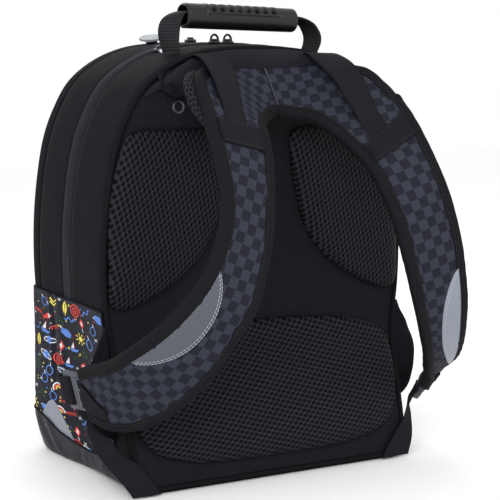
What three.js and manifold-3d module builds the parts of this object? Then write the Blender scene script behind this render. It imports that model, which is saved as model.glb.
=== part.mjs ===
// School ransel seen from its harness side: a domed two-compartment bag with padded straps.
// Millimetres, +Z up, wearer side towards -Y, origin on the ground under the middle of the bag.
import * as THREE from 'three';
import { mergeVertices } from 'three/addons/utils/BufferGeometryUtils.js';
import loadManifold from 'manifold-3d';

const manifold = await loadManifold();
manifold.setup();

// Bag body
const BODY_HEIGHT = 420;
const BODY_HALF_WIDTH = 168;
const BACK_FACE = 93;
const FRONT_FACE = 96;
const FRONT_RISE = 5;
const FRONT_ROUND = 20;
const LUMBAR_REACH = 35;
const LUMBAR_TOP = 150;
const LUMBAR_FLAT = 14;
const CLOTH = 2;
const GAP = 0.3;
const RIM_SPACING = 36;
const SWELL_START = 30;
const SWELL_FULL = 70;
const GUSSET_SWELL = 0.8;
const BOOT_WALL = 2.2;
const BOOT_TOP_FRONT = 46;
const BOOT_TOP_SIDE = 27;
const PANEL_THICKNESS = 6;
const PIPING_RADIUS = 2.5;
const BASE_LIFT = BOOT_WALL + GAP;

// Zips and the padded welt between them
const MAIN_ZIP_PLACE = 20;
const ZIP_WIDTH = 9;
const ZIP_SINK = 1.2;
const TAPE_THICKNESS = 1.5;
const WELT_WIDTH = 19;
const WELT_BULGE = 1.8;
const WELT_THICKNESS = 3.2;
const SECOND_ZIP_PLACE = 60;
const SLIDER_LENGTH = 11;
const SLIDER_WIDTH = 8;
const SLIDER_HEIGHT = 4;
const PULL_RADIUS = 4;
const PULL_WIRE = 1.1;
const OVAL_PULL_LENGTH = 27;
const OVAL_PULL_WIDTH = 14;
const OVAL_PULL_THICKNESS = 2.2;
const OVAL_PULL_TILT = 22;

// Printed lower panels, reflectors and side wings
const PRINT_TOP = 170;
const PRINT_THICKNESS = 1.4;
const PRINT_GAP = 0.5;
const REFLECTOR_THICKNESS = 0.6;
const SIDE_REFLECTOR_LENGTH = 88;
const SIDE_REFLECTOR_HEIGHT = 32;
const REFLECTOR_SEAM = 2;
const WING_TOP = 158;
const WING_BOTTOM = 47;
const WING_REACH_LEFT = 26;
const WING_REACH_RIGHT = 34;
const WING_SWEEP = 3;
const WING_THICKNESS = 2;

// Back cushions
const UPPER_PAD_THICKNESS = 13;
const LOWER_PAD_THICKNESS = 15;
const PAD_RIM = 2;
const PAD_GAP = 0.6;
const LUMBAR_STEP = 11;
const ROLL_DEPTH = 9;
const ROLL_HEIGHT = 13;
const ROLL_HALF_LENGTH = 84;

// Shoulder straps
const STRAP_REACH = 139;
const STRAP_THICKNESS = 9;
const STRAP_STATIONS = 24;
const SEAM_PLACE = 0.008;
const BINDING_WIDTH = 11;
const BINDING_THICKNESS = 1.2;
const STRAP_REFLECTOR_SHARE = 0.62;
const END_TAB = { rows: 1.3, start: 0.45, edge: 0.9 };
const BINDING_GAP = 0.8;
const BAND_THICKNESS = 1.2;
const WEBBING_THICKNESS = 1.6;
const LIFTER_WIDTH = 24;
const LIFTER_SEAT = [0.75, 0.12];

// Ladder-lock buckles
const BUCKLE_HEIGHT = 38;
const BUCKLE_LENGTH = 26;
const BUCKLE_THICKNESS = 4.5;
const BUCKLE_BAR = 4;
const LOOP_BULGE = 4;

// Carrying handle
const GRIP_LENGTH = 128;
const GRIP_WIDTH = 28;
const GRIP_HEIGHT = 23;
const GRIP_RISE = 27;
const GRIP_WALL = 2.2;
const GRIP_SHIFT = -4;
const GRIP_SIDES = 20;
const GRIP_SLOTS = 8;
const GRIP_SLOT_PITCH = 9.6;
const GRIP_SLOT_LENGTH = 15;
const GRIP_SLOT_WIDTH = 4.6;
const GRIP_SLOT_HEIGHT = 0.93;
const HANDLE_PLACE = 60;
const HANDLE_HALF_SPAN = 78;
const HANDLE_WEB_THICKNESS = 1.8;

// Small metal ring against the back, beside the left strap
const RING_RADIUS = 5.5;
const RING_WIRE = 1.1;
const RING_PLACE = { width: 0.524, height: 0.864 };

// Colours seen on the real cloth and plastic
const NYLON_BLACK = 0x1e1e21;
const BINDING_BLACK = 0x212123;
const MESH_BLACK = 0x18181b;
const CHECKER_SLATE = 0x353848;
const BOOT_GREY = 0x3a3a3f;
const PRINT_NAVY = 0x1f212b;
const REFLECTIVE_GREY = 0x90969f;
const BUCKLE_GREY = 0x3c3d42;
const METAL_SILVER = 0xb9bbc0;

// Half outline of the back seen from behind, from the base up: shares of height and half width
const OUTLINE = [
  { height: 0.034, width: 0.908 },
  { height: 0.15, width: 0.932 },
  { height: 0.30, width: 0.960 },
  { height: 0.42, width: 0.996 },
  { height: 0.55, width: 1.000 },
  { height: 0.67, width: 0.973 },
  { height: 0.772, width: 0.924 },
  { height: 0.840, width: 0.857 },
  { height: 0.905, width: 0.757 },
  { height: 0.953, width: 0.605 },
  { height: 0.985, width: 0.415 },
  { height: 0.998, width: 0.200 },
  { height: 1.0, width: 0.0 },
];

// Round corner at each end of the base seam: shares of half width and of height
const BASE_CORNER = [
  { height: 0.008, width: 0.885 },
  { height: 0.0, width: 0.830 },
  { height: 0.0, width: 0.500 },
];

// Upper mesh cushion, seen from behind on the +X side
const UPPER_PAD = [
  { width: 0.22, height: 0.820 },
  { width: 0.21, height: 0.760 },
  { width: 0.27, height: 0.665 },
  { width: 0.33, height: 0.600 },
  { width: 0.45, height: 0.530 },
  { width: 0.67, height: 0.465 },
  { width: 0.93, height: 0.430 },
  { width: 0.945, height: 0.520 },
  { width: 0.93, height: 0.660 },
  { width: 0.87, height: 0.765 },
  { width: 0.80, height: 0.822 },
  { width: 0.50, height: 0.832 },
];

// Lower mesh cushion: its +X half, from the top middle round to the bottom middle
const LOWER_PAD = [
  { width: 0.0, height: 0.362 },
  { width: 0.33, height: 0.358 },
  { width: 0.62, height: 0.345 },
  { width: 0.86, height: 0.310 },
  { width: 0.905, height: 0.265 },
  { width: 0.885, height: 0.160 },
  { width: 0.80, height: 0.100 },
  { width: 0.58, height: 0.066 },
  { width: 0.28, height: 0.056 },
  { width: 0.0, height: 0.055 },
];

// Strap edges from the centre seam to the lower end: shares of the half width, the strap's reach
// behind the back, and the body height, for the outer edge and then the inner edge
const STRAP_LEFT = [
  { outX: 0.000, outY: 0.043, outZ: 0.948, inX: 0.000, inY: 0.266, inZ: 0.843 },
  { outX: 0.202, outY: 0.062, outZ: 0.950, inX: 0.075, inY: 0.324, inZ: 0.836 },
  { outX: 0.417, outY: 0.200, outZ: 0.950, inX: 0.131, inY: 0.396, inZ: 0.828 },
  { outX: 0.595, outY: 0.400, outZ: 0.935, inX: 0.190, inY: 0.482, inZ: 0.822 },
  { outX: 0.643, outY: 0.570, outZ: 0.888, inX: 0.232, inY: 0.568, inZ: 0.817 },
  { outX: 0.655, outY: 0.683, outZ: 0.843, inX: 0.262, inY: 0.662, inZ: 0.805 },
  { outX: 0.667, outY: 0.827, outZ: 0.780, inX: 0.298, inY: 0.799, inZ: 0.740 },
  { outX: 0.673, outY: 0.942, outZ: 0.695, inX: 0.345, inY: 0.906, inZ: 0.664 },
  { outX: 0.696, outY: 0.985, outZ: 0.633, inX: 0.369, inY: 0.935, inZ: 0.600 },
  { outX: 0.750, outY: 1.000, outZ: 0.574, inX: 0.411, inY: 0.950, inZ: 0.521 },
  { outX: 0.815, outY: 1.000, outZ: 0.524, inX: 0.470, inY: 0.942, inZ: 0.443 },
  { outX: 0.905, outY: 0.964, outZ: 0.474, inX: 0.560, inY: 0.892, inZ: 0.376 },
  { outX: 1.012, outY: 0.870, outZ: 0.421, inX: 0.685, inY: 0.799, inZ: 0.290 },
  { outX: 1.113, outY: 0.698, outZ: 0.371, inX: 0.821, inY: 0.626, inZ: 0.217 },
  { outX: 1.161, outY: 0.482, outZ: 0.333, inX: 0.952, inY: 0.410, inZ: 0.171 },
  { outX: 1.173, outY: 0.266, outZ: 0.314, inX: 1.054, inY: 0.216, inZ: 0.164 },
  { outX: 1.185, outY: 0.130, outZ: 0.300, inX: 1.105, inY: 0.100, inZ: 0.181 },
];
const STRAP_RIGHT = [
  { outX: 0.000, outY: 0.043, outZ: 0.948, inX: 0.000, inY: 0.266, inZ: 0.843 },
  { outX: 0.238, outY: 0.062, outZ: 0.952, inX: 0.095, inY: 0.309, inZ: 0.836 },
  { outX: 0.429, outY: 0.165, outZ: 0.955, inX: 0.167, inY: 0.381, inZ: 0.829 },
  { outX: 0.583, outY: 0.309, outZ: 0.945, inX: 0.226, inY: 0.468, inZ: 0.810 },
  { outX: 0.650, outY: 0.446, outZ: 0.912, inX: 0.274, inY: 0.554, inZ: 0.786 },
  { outX: 0.680, outY: 0.554, outZ: 0.879, inX: 0.298, inY: 0.626, inZ: 0.767 },
  { outX: 0.696, outY: 0.669, outZ: 0.843, inX: 0.321, inY: 0.712, inZ: 0.745 },
  { outX: 0.714, outY: 0.813, outZ: 0.783, inX: 0.345, inY: 0.813, inZ: 0.712 },
  { outX: 0.750, outY: 0.914, outZ: 0.717, inX: 0.375, inY: 0.899, inZ: 0.662 },
  { outX: 0.792, outY: 0.971, outZ: 0.652, inX: 0.411, inY: 0.950, inZ: 0.610 },
  { outX: 0.845, outY: 1.000, outZ: 0.562, inX: 0.452, inY: 0.971, inZ: 0.552 },
  { outX: 0.881, outY: 0.993, outZ: 0.495, inX: 0.500, inY: 0.964, inZ: 0.495 },
  { outX: 0.929, outY: 0.950, outZ: 0.419, inX: 0.577, inY: 0.921, inZ: 0.419 },
  { outX: 1.030, outY: 0.770, outZ: 0.338, inX: 0.702, inY: 0.799, inZ: 0.333 },
  { outX: 1.107, outY: 0.612, outZ: 0.290, inX: 0.786, inY: 0.698, inZ: 0.288 },
  { outX: 1.179, outY: 0.424, outZ: 0.252, inX: 0.875, inY: 0.568, inZ: 0.243 },
  { outX: 1.220, outY: 0.252, outZ: 0.229, inX: 0.976, inY: 0.424, inZ: 0.198 },
  { outX: 1.226, outY: 0.137, outZ: 0.224, inX: 1.071, inY: 0.237, inZ: 0.160 },
];

// Each side's pieces that ride on the strap: places along the table above, in rows
const HARNESS = {
  left: {
    side: -1, rows: STRAP_LEFT, bandFrom: 4.95, bandTo: 5.72,
    patchFrom: 8.7, patchTo: 13.4, lifterShift: -0.125,
  },
  right: {
    side: 1, rows: STRAP_RIGHT, bandFrom: 5.65, bandTo: 6.65,
    patchFrom: 10.9, patchTo: 15.4, lifterShift: 0.21,
  },
};

// Free part of the load lifters from the top seam: outer then inner edge, strap shares
const LIFTER_LEFT = [
  { outX: 0.464, outY: 0.026, outZ: 0.976, inX: 0.262, inY: 0.026, inZ: 0.987 },
  { outX: 0.470, outY: 0.105, outZ: 0.980, inX: 0.268, inY: 0.105, inZ: 0.984 },
  { outX: 0.482, outY: 0.230, outZ: 0.974, inX: 0.290, inY: 0.250, inZ: 0.955 },
  { outX: 0.510, outY: 0.420, outZ: 0.948, inX: 0.345, inY: 0.455, inZ: 0.910 },
];
const LIFTER_RIGHT = [
  { outX: 0.430, outY: 0.026, outZ: 0.978, inX: 0.268, inY: 0.026, inZ: 0.987 },
  { outX: 0.432, outY: 0.105, outZ: 0.983, inX: 0.268, inY: 0.105, inZ: 0.984 },
  { outX: 0.440, outY: 0.230, outZ: 0.978, inX: 0.280, inY: 0.245, inZ: 0.960 },
  { outX: 0.455, outY: 0.420, outZ: 0.948, inX: 0.300, inY: 0.450, inZ: 0.915 },
];

// Lower webbing from behind the buckle down to the base seam: its two edges, strap shares
const LOWER_WEBBING_LEFT = [
  { outX: 1.133, outY: -0.066, outZ: 0.245, inX: 1.133, inY: -0.066, inZ: 0.185 },
  { outX: 1.112, outY: -0.010, outZ: 0.190, inX: 1.085, inY: 0.020, inZ: 0.155 },
  { outX: 1.115, outY: 0.050, outZ: 0.143, inX: 1.025, inY: 0.195, inZ: 0.130 },
  { outX: 1.095, outY: 0.125, outZ: 0.105, inX: 1.010, inY: 0.272, inZ: 0.109 },
  { outX: 1.048, outY: 0.210, outZ: 0.068, inX: 0.893, inY: 0.284, inZ: 0.075 },
  { outX: 0.992, outY: 0.268, outZ: 0.036, inX: 0.826, inY: 0.284, inZ: 0.039 },
  { outX: 0.937, outY: 0.284, outZ: 0.004, inX: 0.764, inY: 0.284, inZ: 0.004 },
];
const LOWER_WEBBING_RIGHT = [
  { outX: 1.125, outY: 0.060, outZ: 0.170, inX: 1.090, inY: 0.085, inZ: 0.140 },
  { outX: 1.095, outY: 0.060, outZ: 0.150, inX: 1.045, inY: 0.130, inZ: 0.130 },
  { outX: 1.045, outY: 0.085, outZ: 0.128, inX: 0.965, inY: 0.210, inZ: 0.118 },
  { outX: 1.000, outY: 0.190, outZ: 0.096, inX: 0.885, inY: 0.278, inZ: 0.088 },
  { outX: 0.960, outY: 0.275, outZ: 0.050, inX: 0.800, inY: 0.279, inZ: 0.046 },
  { outX: 0.930, outY: 0.279, outZ: 0.006, inX: 0.740, inY: 0.278, inZ: 0.005 },
];

// Handle webbing from the left foot over to the right one: shares of the half span and of the
// rise to the grip, and the turn of its width away from straight across the bag, in degrees
const HANDLE = [
  { span: -1.00, rise: 0.00, turn: 0 },
  { span: -1.03, rise: 0.28, turn: 30 },
  { span: -1.03, rise: 0.55, turn: 58 },
  { span: -0.98, rise: 0.80, turn: 36 },
  { span: -0.89, rise: 0.96, turn: 6 },
  { span: -0.76, rise: 1.00, turn: 0 },
  { span: 0.66, rise: 1.00, turn: 0 },
  { span: 0.82, rise: 0.97, turn: 4 },
  { span: 0.96, rise: 0.82, turn: 18 },
  { span: 1.04, rise: 0.55, turn: 24 },
  { span: 1.05, rise: 0.28, turn: 24 },
  { span: 1.00, rise: 0.00, turn: 20 },
];

// Places of the zip sliders along the top, as shares of half width
const MAIN_SLIDERS = { left: -0.42, middle: -0.055, right: 0.035 };
const SECOND_SLIDERS = { left: -0.24, right: 0.06 };

// Side wing between the side seam and the strap end: shares of its height and of its reach
const WING = [
  { height: 0.00, reach: 0.05 },
  { height: 0.08, reach: 0.55 },
  { height: 0.20, reach: 0.88 },
  { height: 0.40, reach: 1.00 },
  { height: 0.56, reach: 0.92 },
  { height: 0.76, reach: 0.58 },
  { height: 0.90, reach: 0.25 },
  { height: 1.00, reach: 0.04 },
];

// Wavy upper edge of the base boot: share of the depth from back to front, share of its rise
const BOOT_EDGE = [
  { depth: 0.00, rise: 0.30 },
  { depth: 0.28, rise: 0.22 },
  { depth: 0.50, rise: 0.00 },
  { depth: 0.64, rise: 0.00 },
  { depth: 0.76, rise: 0.12 },
  { depth: 0.90, rise: 0.62 },
  { depth: 1.00, rise: 1.00 },
];

const group = new THREE.Group();

function vec(x, y, z) {
  return new THREE.Vector3(x, y, z);
}

function addPiece(name, geometry, color, roughness = 0.85, metalness = 0) {
  const material = new THREE.MeshStandardMaterial({ color, roughness, metalness });
  const mesh = new THREE.Mesh(geometry, material);
  mesh.name = name;
  group.add(mesh);
  return mesh;
}

// One closed geometry from a list of corner triples, with its faces turned outwards
function closedGeometry(triangles) {
  const raw = new THREE.BufferGeometry();
  const flat = triangles.flat().flatMap((p) => [p.x, p.y, p.z]);
  raw.setAttribute('position', new THREE.Float32BufferAttribute(flat, 3));
  const merged = mergeVertices(raw, 1e-3);
  const index = merged.index.array;
  const position = merged.attributes.position;
  const kept = [];
  let volume = 0;
  for (let i = 0; i < index.length; i += 3) {
    const [a, b, c] = [index[i], index[i + 1], index[i + 2]];
    if (a === b || b === c || a === c) continue;
    kept.push(a, b, c);
    const pa = new THREE.Vector3().fromBufferAttribute(position, a);
    const pb = new THREE.Vector3().fromBufferAttribute(position, b);
    const pc = new THREE.Vector3().fromBufferAttribute(position, c);
    volume += pa.dot(pb.cross(pc));
  }
  if (volume < 0) kept.reverse();
  merged.setIndex(kept);
  return merged;
}

function quad(triangles, a, b, c, d) {
  triangles.push([a, b, c], [a, c, d]);
}

// Closed solid between two grids of points with the same rows and columns
function solidBetween(outer, inner, wrap = false) {
  const triangles = [];
  const rows = outer.length - 1;
  const columns = outer[0].length;
  const steps = wrap ? columns : columns - 1;
  for (let r = 0; r < rows; r += 1) {
    for (let c = 0; c < steps; c += 1) {
      const n = (c + 1) % columns;
      quad(triangles, outer[r][c], outer[r][n], outer[r + 1][n], outer[r + 1][c]);
      quad(triangles, inner[r][c], inner[r + 1][c], inner[r + 1][n], inner[r][n]);
    }
  }
  for (let c = 0; c < steps; c += 1) {
    const n = (c + 1) % columns;
    quad(triangles, outer[0][c], inner[0][c], inner[0][n], outer[0][n]);
    quad(triangles, outer[rows][c], outer[rows][n], inner[rows][n], inner[rows][c]);
  }
  if (!wrap) {
    const last = columns - 1;
    for (let r = 0; r < rows; r += 1) {
      quad(triangles, outer[r][0], outer[r + 1][0], inner[r + 1][0], inner[r][0]);
      quad(triangles, outer[r][last], inner[r][last], inner[r + 1][last], outer[r + 1][last]);
    }
  }
  return closedGeometry(triangles);
}

// Closed solid through a row of flat rings; each end is capped with the section's own triangles
function solidThrough(rings, section) {
  const triangles = [];
  const count = section.length;
  for (let r = 0; r < rings.length - 1; r += 1) {
    for (let c = 0; c < count; c += 1) {
      const n = (c + 1) % count;
      quad(triangles, rings[r][c], rings[r][n], rings[r + 1][n], rings[r + 1][c]);
    }
  }
  const flat = section.map(([a, b]) => new THREE.Vector2(a, b));
  const forward = THREE.ShapeUtils.area(flat) > 0 ? 1 : -1;
  for (const [a, b, c] of THREE.ShapeUtils.triangulateShape(flat, [])) {
    const first = rings[0];
    const last = rings[rings.length - 1];
    const start = [first[a], first[c], first[b]];
    const end = [last[a], last[b], last[c]];
    triangles.push(forward > 0 ? start : start.reverse(), forward > 0 ? end : end.reverse());
  }
  return closedGeometry(triangles);
}

// Depth of the wearer's face: flat above, reaching out at the small of the back
function backY(z) {
  const t = THREE.MathUtils.smoothstep(z, LUMBAR_FLAT, LUMBAR_TOP);
  return -BACK_FACE - LUMBAR_REACH * (1 - t);
}

function outlineCurve() {
  const inner = BODY_HEIGHT - BASE_LIFT;
  const point = (row, side) => vec(side * row.width * BODY_HALF_WIDTH, 0, BASE_LIFT + row.height * inner);
  const right = [...[...BASE_CORNER].reverse(), ...OUTLINE].map((row) => point(row, 1));
  const left = right.slice(0, -1).reverse().map((p) => vec(-p.x, 0, p.z));
  return new THREE.CatmullRomCurve3([...right, ...left, vec(0, 0, BASE_LIFT)], true, 'centripetal');
}

// Points round the closed body outline with their outward direction, close together at corners
function outlineSamples() {
  const curve = outlineCurve();
  const count = curve.points.length;
  const samples = [];
  curve.points.forEach((start, i) => {
    const next = curve.points[(i + 1) % count];
    const parts = Math.max(1, Math.round(start.distanceTo(next) / RIM_SPACING));
    for (let k = 0; k < parts; k += 1) {
      const t = ((i + k / parts) / count) % 1;
      const p = curve.getPoint(t);
      const tangent = curve.getTangent(t);
      p.z = Math.max(p.z, BASE_LIFT);
      samples.push({ x: p.x, z: p.z, nx: tangent.z, nz: -tangent.x });
    }
  });
  return samples;
}
const RIM = outlineSamples();

// The dome stands a little higher at the front than at the back
function riseAt(y) {
  const share = THREE.MathUtils.clamp((y + BACK_FACE) / (BACK_FACE + SECOND_ZIP_PLACE), 0, 1);
  return 1 + (FRONT_RISE / BODY_HEIGHT) * share;
}

function rimPoint(sample, y, inset) {
  const z = BASE_LIFT + (sample.z - BASE_LIFT) * riseAt(y);
  return vec(sample.x - sample.nx * inset, y, z - sample.nz * inset);
}

// Swelling of the bare walls, which dies away before the printed panels
function swell(sample, inset) {
  if (inset >= 0) return inset;
  return inset * THREE.MathUtils.smoothstep(sample.z, PRINT_TOP + SWELL_START, PRINT_TOP + SWELL_FULL);
}

// A band of cloth round the whole body; each row gives its depth at a rim sample and its inset
function bandAround(rows, thickness) {
  const layer = (depth) => rows.map((row) =>
    RIM.map((s) => rimPoint(s, row.y(s), swell(s, row.inset) + depth)));
  return solidBetween(layer(0), layer(thickness), true);
}

const mainZipBack = -MAIN_ZIP_PLACE - ZIP_WIDTH / 2;
const mainZipFront = -MAIN_ZIP_PLACE + ZIP_WIDTH / 2;
const weltFront = mainZipFront + GAP + WELT_WIDTH;
const secondZipBack = SECOND_ZIP_PLACE - ZIP_WIDTH / 2;
const secondZipFront = SECOND_ZIP_PLACE + ZIP_WIDTH / 2;
const shoulderY = FRONT_FACE - FRONT_ROUND;

// Main compartment wall, from the piping to the main zip
const seamDepth = PIPING_RADIUS + GAP * 2;
const gussetBack = (s) => backY(s.z) + seamDepth;
addPiece('main_gusset', bandAround([
  { y: gussetBack, inset: 0.6 },
  { y: (s) => THREE.MathUtils.lerp(gussetBack(s), mainZipBack, 0.5), inset: -GUSSET_SWELL },
  { y: () => mainZipBack - GAP, inset: 0.6 },
], CLOTH), NYLON_BLACK);

// Zip tapes close the walls into one shell
function zipRing(place) {
  return bandAround([
    { y: () => place - ZIP_WIDTH / 2, inset: ZIP_SINK },
    { y: () => place + ZIP_WIDTH / 2, inset: ZIP_SINK },
  ], TAPE_THICKNESS);
}
addPiece('main_zip', zipRing(-MAIN_ZIP_PLACE), BINDING_BLACK);
addPiece('second_zip', zipRing(SECOND_ZIP_PLACE), BINDING_BLACK);

addPiece('zip_welt', bandAround([
  { y: () => mainZipFront + GAP, inset: 0.4 },
  { y: () => mainZipFront + WELT_WIDTH * 0.5, inset: -WELT_BULGE },
  { y: () => weltFront - GAP, inset: 0.4 },
], WELT_THICKNESS), NYLON_BLACK);

addPiece('second_gusset', bandAround([
  { y: () => weltFront, inset: 0.4 },
  { y: () => (weltFront + secondZipBack) / 2, inset: -0.4 },
  { y: () => secondZipBack - GAP, inset: 0.4 },
], CLOTH), NYLON_BLACK);

// Rows from the side wall round the front edge, for a layer that lies so far outside the shell
function frontRows(outset) {
  const radius = FRONT_ROUND + outset;
  return [0, 30, 60, 90].map((degrees) => {
    const angle = THREE.MathUtils.degToRad(degrees);
    return {
      y: shoulderY + radius * Math.sin(angle),
      inset: FRONT_ROUND - radius * Math.cos(angle),
      at: shoulderY + FRONT_ROUND * Math.sin(angle),
    };
  });
}

// Front compartment: side wall and round edge
function frontShell() {
  const layer = (outset) => {
    const wall = [{ y: secondZipFront + GAP, inset: -outset }, ...frontRows(outset)];
    return wall.map((row) => RIM.map((s) => rimPoint(s, row.y, row.inset)));
  };
  return solidBetween(layer(0), layer(-CLOTH), true);
}
addPiece('front_shell', frontShell(), NYLON_BLACK);

// Flat front panel sewn inside the round edge
function frontPanel() {
  const layer = (outset) => {
    const edge = RIM.map((s) => rimPoint(s, FRONT_FACE + outset, FRONT_ROUND + GAP));
    const middle = vec(0, FRONT_FACE + outset, BODY_HEIGHT / 2);
    return [edge, edge.map(() => middle.clone())];
  };
  return solidBetween(layer(0), layer(-CLOTH), true);
}
addPiece('front_panel', frontPanel(), NYLON_BLACK);

// Back board: its rim follows the outline inside the piping, its face follows the back's profile
const boardRim = RIM.map((s) => rimPoint(s, -BACK_FACE, PIPING_RADIUS * 2 + GAP));
const lumbarSteps = Math.round((LUMBAR_TOP - LUMBAR_FLAT) / LUMBAR_STEP);
const lumbarHeights = Array.from({ length: lumbarSteps + 1 }, (_, i) =>
  LUMBAR_FLAT + (LUMBAR_TOP - LUMBAR_FLAT) * (i / lumbarSteps));

// Left and right end of a closed outline at a height
function spanAt(outline, z) {
  const crossings = [];
  outline.forEach((a, i) => {
    const b = outline[(i + 1) % outline.length];
    if ((a.z - z) * (b.z - z) > 0 || a.z === b.z) return;
    crossings.push(THREE.MathUtils.lerp(a.x, b.x, (z - a.z) / (b.z - a.z)));
  });
  return [Math.min(...crossings), Math.max(...crossings)];
}

// Heights from the foot to the top of an outline, close together where the profile bends
function rowHeights(outline, shares) {
  const low = Math.min(...outline.map((p) => p.z));
  const high = Math.max(...outline.map((p) => p.z));
  const margin = 0.05;
  const heights = shares.map((share) => THREE.MathUtils.lerp(low + margin, high - margin, share));
  const bends = lumbarHeights.filter((z) => z > low + 3 && z < high - 3);
  const kept = heights.filter((z) => bends.every((bend) => Math.abs(bend - z) > 3));
  return [...kept, ...bends].sort((a, b) => a - b);
}

function boardGeometry() {
  const shares = [0, 0.03, 0.4, 0.5, 0.6, 0.7, 0.78, 0.84, 0.89, 0.93, 0.96, 0.98, 0.993, 1];
  const heights = rowHeights(boardRim, shares);
  const layer = (depth) => heights.map((z) => spanAt(boardRim, z).map((x) => vec(x, backY(z) + depth, z)));
  return solidBetween(layer(0), layer(PANEL_THICKNESS));
}
addPiece('back_panel', boardGeometry(), NYLON_BLACK);

// Piping round the edge of the back, sewn into the side seam
function pipingGeometry() {
  const path = RIM.map((s) => {
    const p = rimPoint(s, -BACK_FACE, PIPING_RADIUS);
    return vec(p.x, backY(p.z), p.z);
  });
  const count = path.length;
  const sides = 6;
  const rings = path.map((p, i) => {
    const along = path[(i + 1) % count].clone().sub(path[(i + count - 1) % count]).normalize();
    const out = vec(RIM[i].nx, 0, RIM[i].nz);
    const across = along.clone().cross(out).normalize();
    return Array.from({ length: sides }, (_, k) => {
      const angle = (k / sides) * Math.PI * 2;
      return p.clone().addScaledVector(out, PIPING_RADIUS * Math.cos(angle))
        .addScaledVector(across, PIPING_RADIUS * Math.sin(angle));
    });
  });
  const triangles = [];
  rings.forEach((ring, i) => {
    const next = rings[(i + 1) % count];
    ring.forEach((p, k) => {
      const n = (k + 1) % sides;
      quad(triangles, p, ring[n], next[n], next[k]);
    });
  });
  return closedGeometry(triangles);
}
addPiece('panel_piping', pipingGeometry(), BINDING_BLACK);

// Height of the boot's upper edge at a depth, and the body's half width at a height
function interpolate(table, key, value, at) {
  for (let i = 1; i < table.length; i += 1) {
    if (at <= table[i][key] || i === table.length - 1) {
      const from = table[i - 1];
      const to = table[i];
      const t = THREE.MathUtils.clamp((at - from[key]) / (to[key] - from[key]), 0, 1);
      return THREE.MathUtils.lerp(from[value], to[value], t);
    }
  }
  return table[0][value];
}
const bodyBack = -BACK_FACE - LUMBAR_REACH;

function bootTop(y) {
  const depth = (y - bodyBack) / (FRONT_FACE - bodyBack);
  const rise = interpolate(BOOT_EDGE, 'depth', 'rise', depth);
  return BOOT_TOP_SIDE + (BOOT_TOP_FRONT - BOOT_TOP_SIDE) * rise;
}

// Rim samples on one side between two heights, cut exactly at both
const sideRim = RIM.filter((s) => s.x > 0 && s.nx > 0.5 && s.z < BODY_HEIGHT * 0.9);
sideRim.sort((a, b) => a.z - b.z);
function sideSample(z, side) {
  const at = (key) => interpolate(sideRim, 'z', key, z);
  return { x: side * at('x'), z, nx: side * at('nx'), nz: at('nz') };
}

// Depths of the rows that the boot and the printed panels share
const edgeDepths = BOOT_EDGE.map((row) => bodyBack + (FRONT_FACE - bodyBack) * row.depth);
const wallDepths = edgeDepths.filter((y) => y > -BACK_FACE && y < shoulderY - 1);
function wallRows(firstDepth, outset) {
  const walls = [firstDepth, ...wallDepths].map((y) => ({ y, at: y, inset: -outset }));
  return [...walls, ...frontRows(outset)];
}

// Base boot: a dish under the bag whose wall ends in the wavy edge
const cornerSamples = RIM.filter((s) => s.x > 0 && s.z < sideRim[0].z - 1e-6);
cornerSamples.sort((a, b) => b.x - a.x);
const bootSides = sideRim.filter((s) => s.z < BOOT_TOP_SIDE - 2).reverse();
function bootColumns(at) {
  const right = [sideSample(bootTop(at), 1), ...bootSides, ...cornerSamples];
  const left = right.map((s) => ({ x: -s.x, z: s.z, nx: -s.nx, nz: s.nz })).reverse();
  return [...right, { x: 0, z: BASE_LIFT, nx: 0, nz: -1 }, ...left];
}
function bootGeometry() {
  const layer = (outset) => {
    const first = { y: bodyBack + seamDepth, at: bodyBack, inset: -outset };
    const rows = [first, ...wallRows(-BACK_FACE, outset)];
    const face = { y: FRONT_FACE + outset, at: FRONT_FACE, inset: BOOT_TOP_FRONT - BASE_LIFT };
    const points = [...rows, face].map((row) =>
      bootColumns(row.at).map((s) => rimPoint(s, row.y, row.inset)));
    const edge = points[points.length - 1];
    edge.forEach((p) => p.setZ(Math.min(p.z, BOOT_TOP_FRONT)));
    return points;
  };
  return solidBetween(layer(BOOT_WALL + GAP), layer(GAP));
}
addPiece('base_boot', bootGeometry(), BOOT_GREY, 0.6);

// Printed lower panel of one side, wrapped round the front edge to the middle of the front
function printPanel(side) {
  const columns = (at) => [0, 0.25, 0.5, 0.75, 1].map((t) =>
    sideSample(THREE.MathUtils.lerp(bootTop(at) + GAP * 3, PRINT_TOP, t), side));
  const layer = (outset) => {
    const rows = wallRows(-BACK_FACE + seamDepth, outset)
      .map((row) => columns(row.at).map((s) => rimPoint(s, row.y, row.inset)));
    const edge = rows[rows.length - 1];
    return [...rows, edge.map((p) => vec(side * GAP, p.y, p.z))];
  };
  return solidBetween(layer(PRINT_GAP + PRINT_THICKNESS), layer(PRINT_GAP));
}

// Leaf-shaped reflector low on the side, cut straight by the boot's edge
function sideReflector(side) {
  const steps = 8;
  const front = shoulderY - GAP;
  const layer = (outset) => Array.from({ length: steps + 1 }, (_, i) => {
    const t = i / steps;
    const y = front - SIDE_REFLECTOR_LENGTH * t;
    const bottom = bootTop(y) + REFLECTOR_SEAM;
    const height = SIDE_REFLECTOR_HEIGHT * Math.sqrt(1 - t ** 2) + GAP;
    return [0, 0.5, 1].map((share) => rimPoint(sideSample(bottom + height * share, side), y, -outset));
  });
  const skin = PRINT_GAP + PRINT_THICKNESS + GAP;
  return solidBetween(layer(skin + REFLECTOR_THICKNESS), layer(skin));
}

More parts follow.
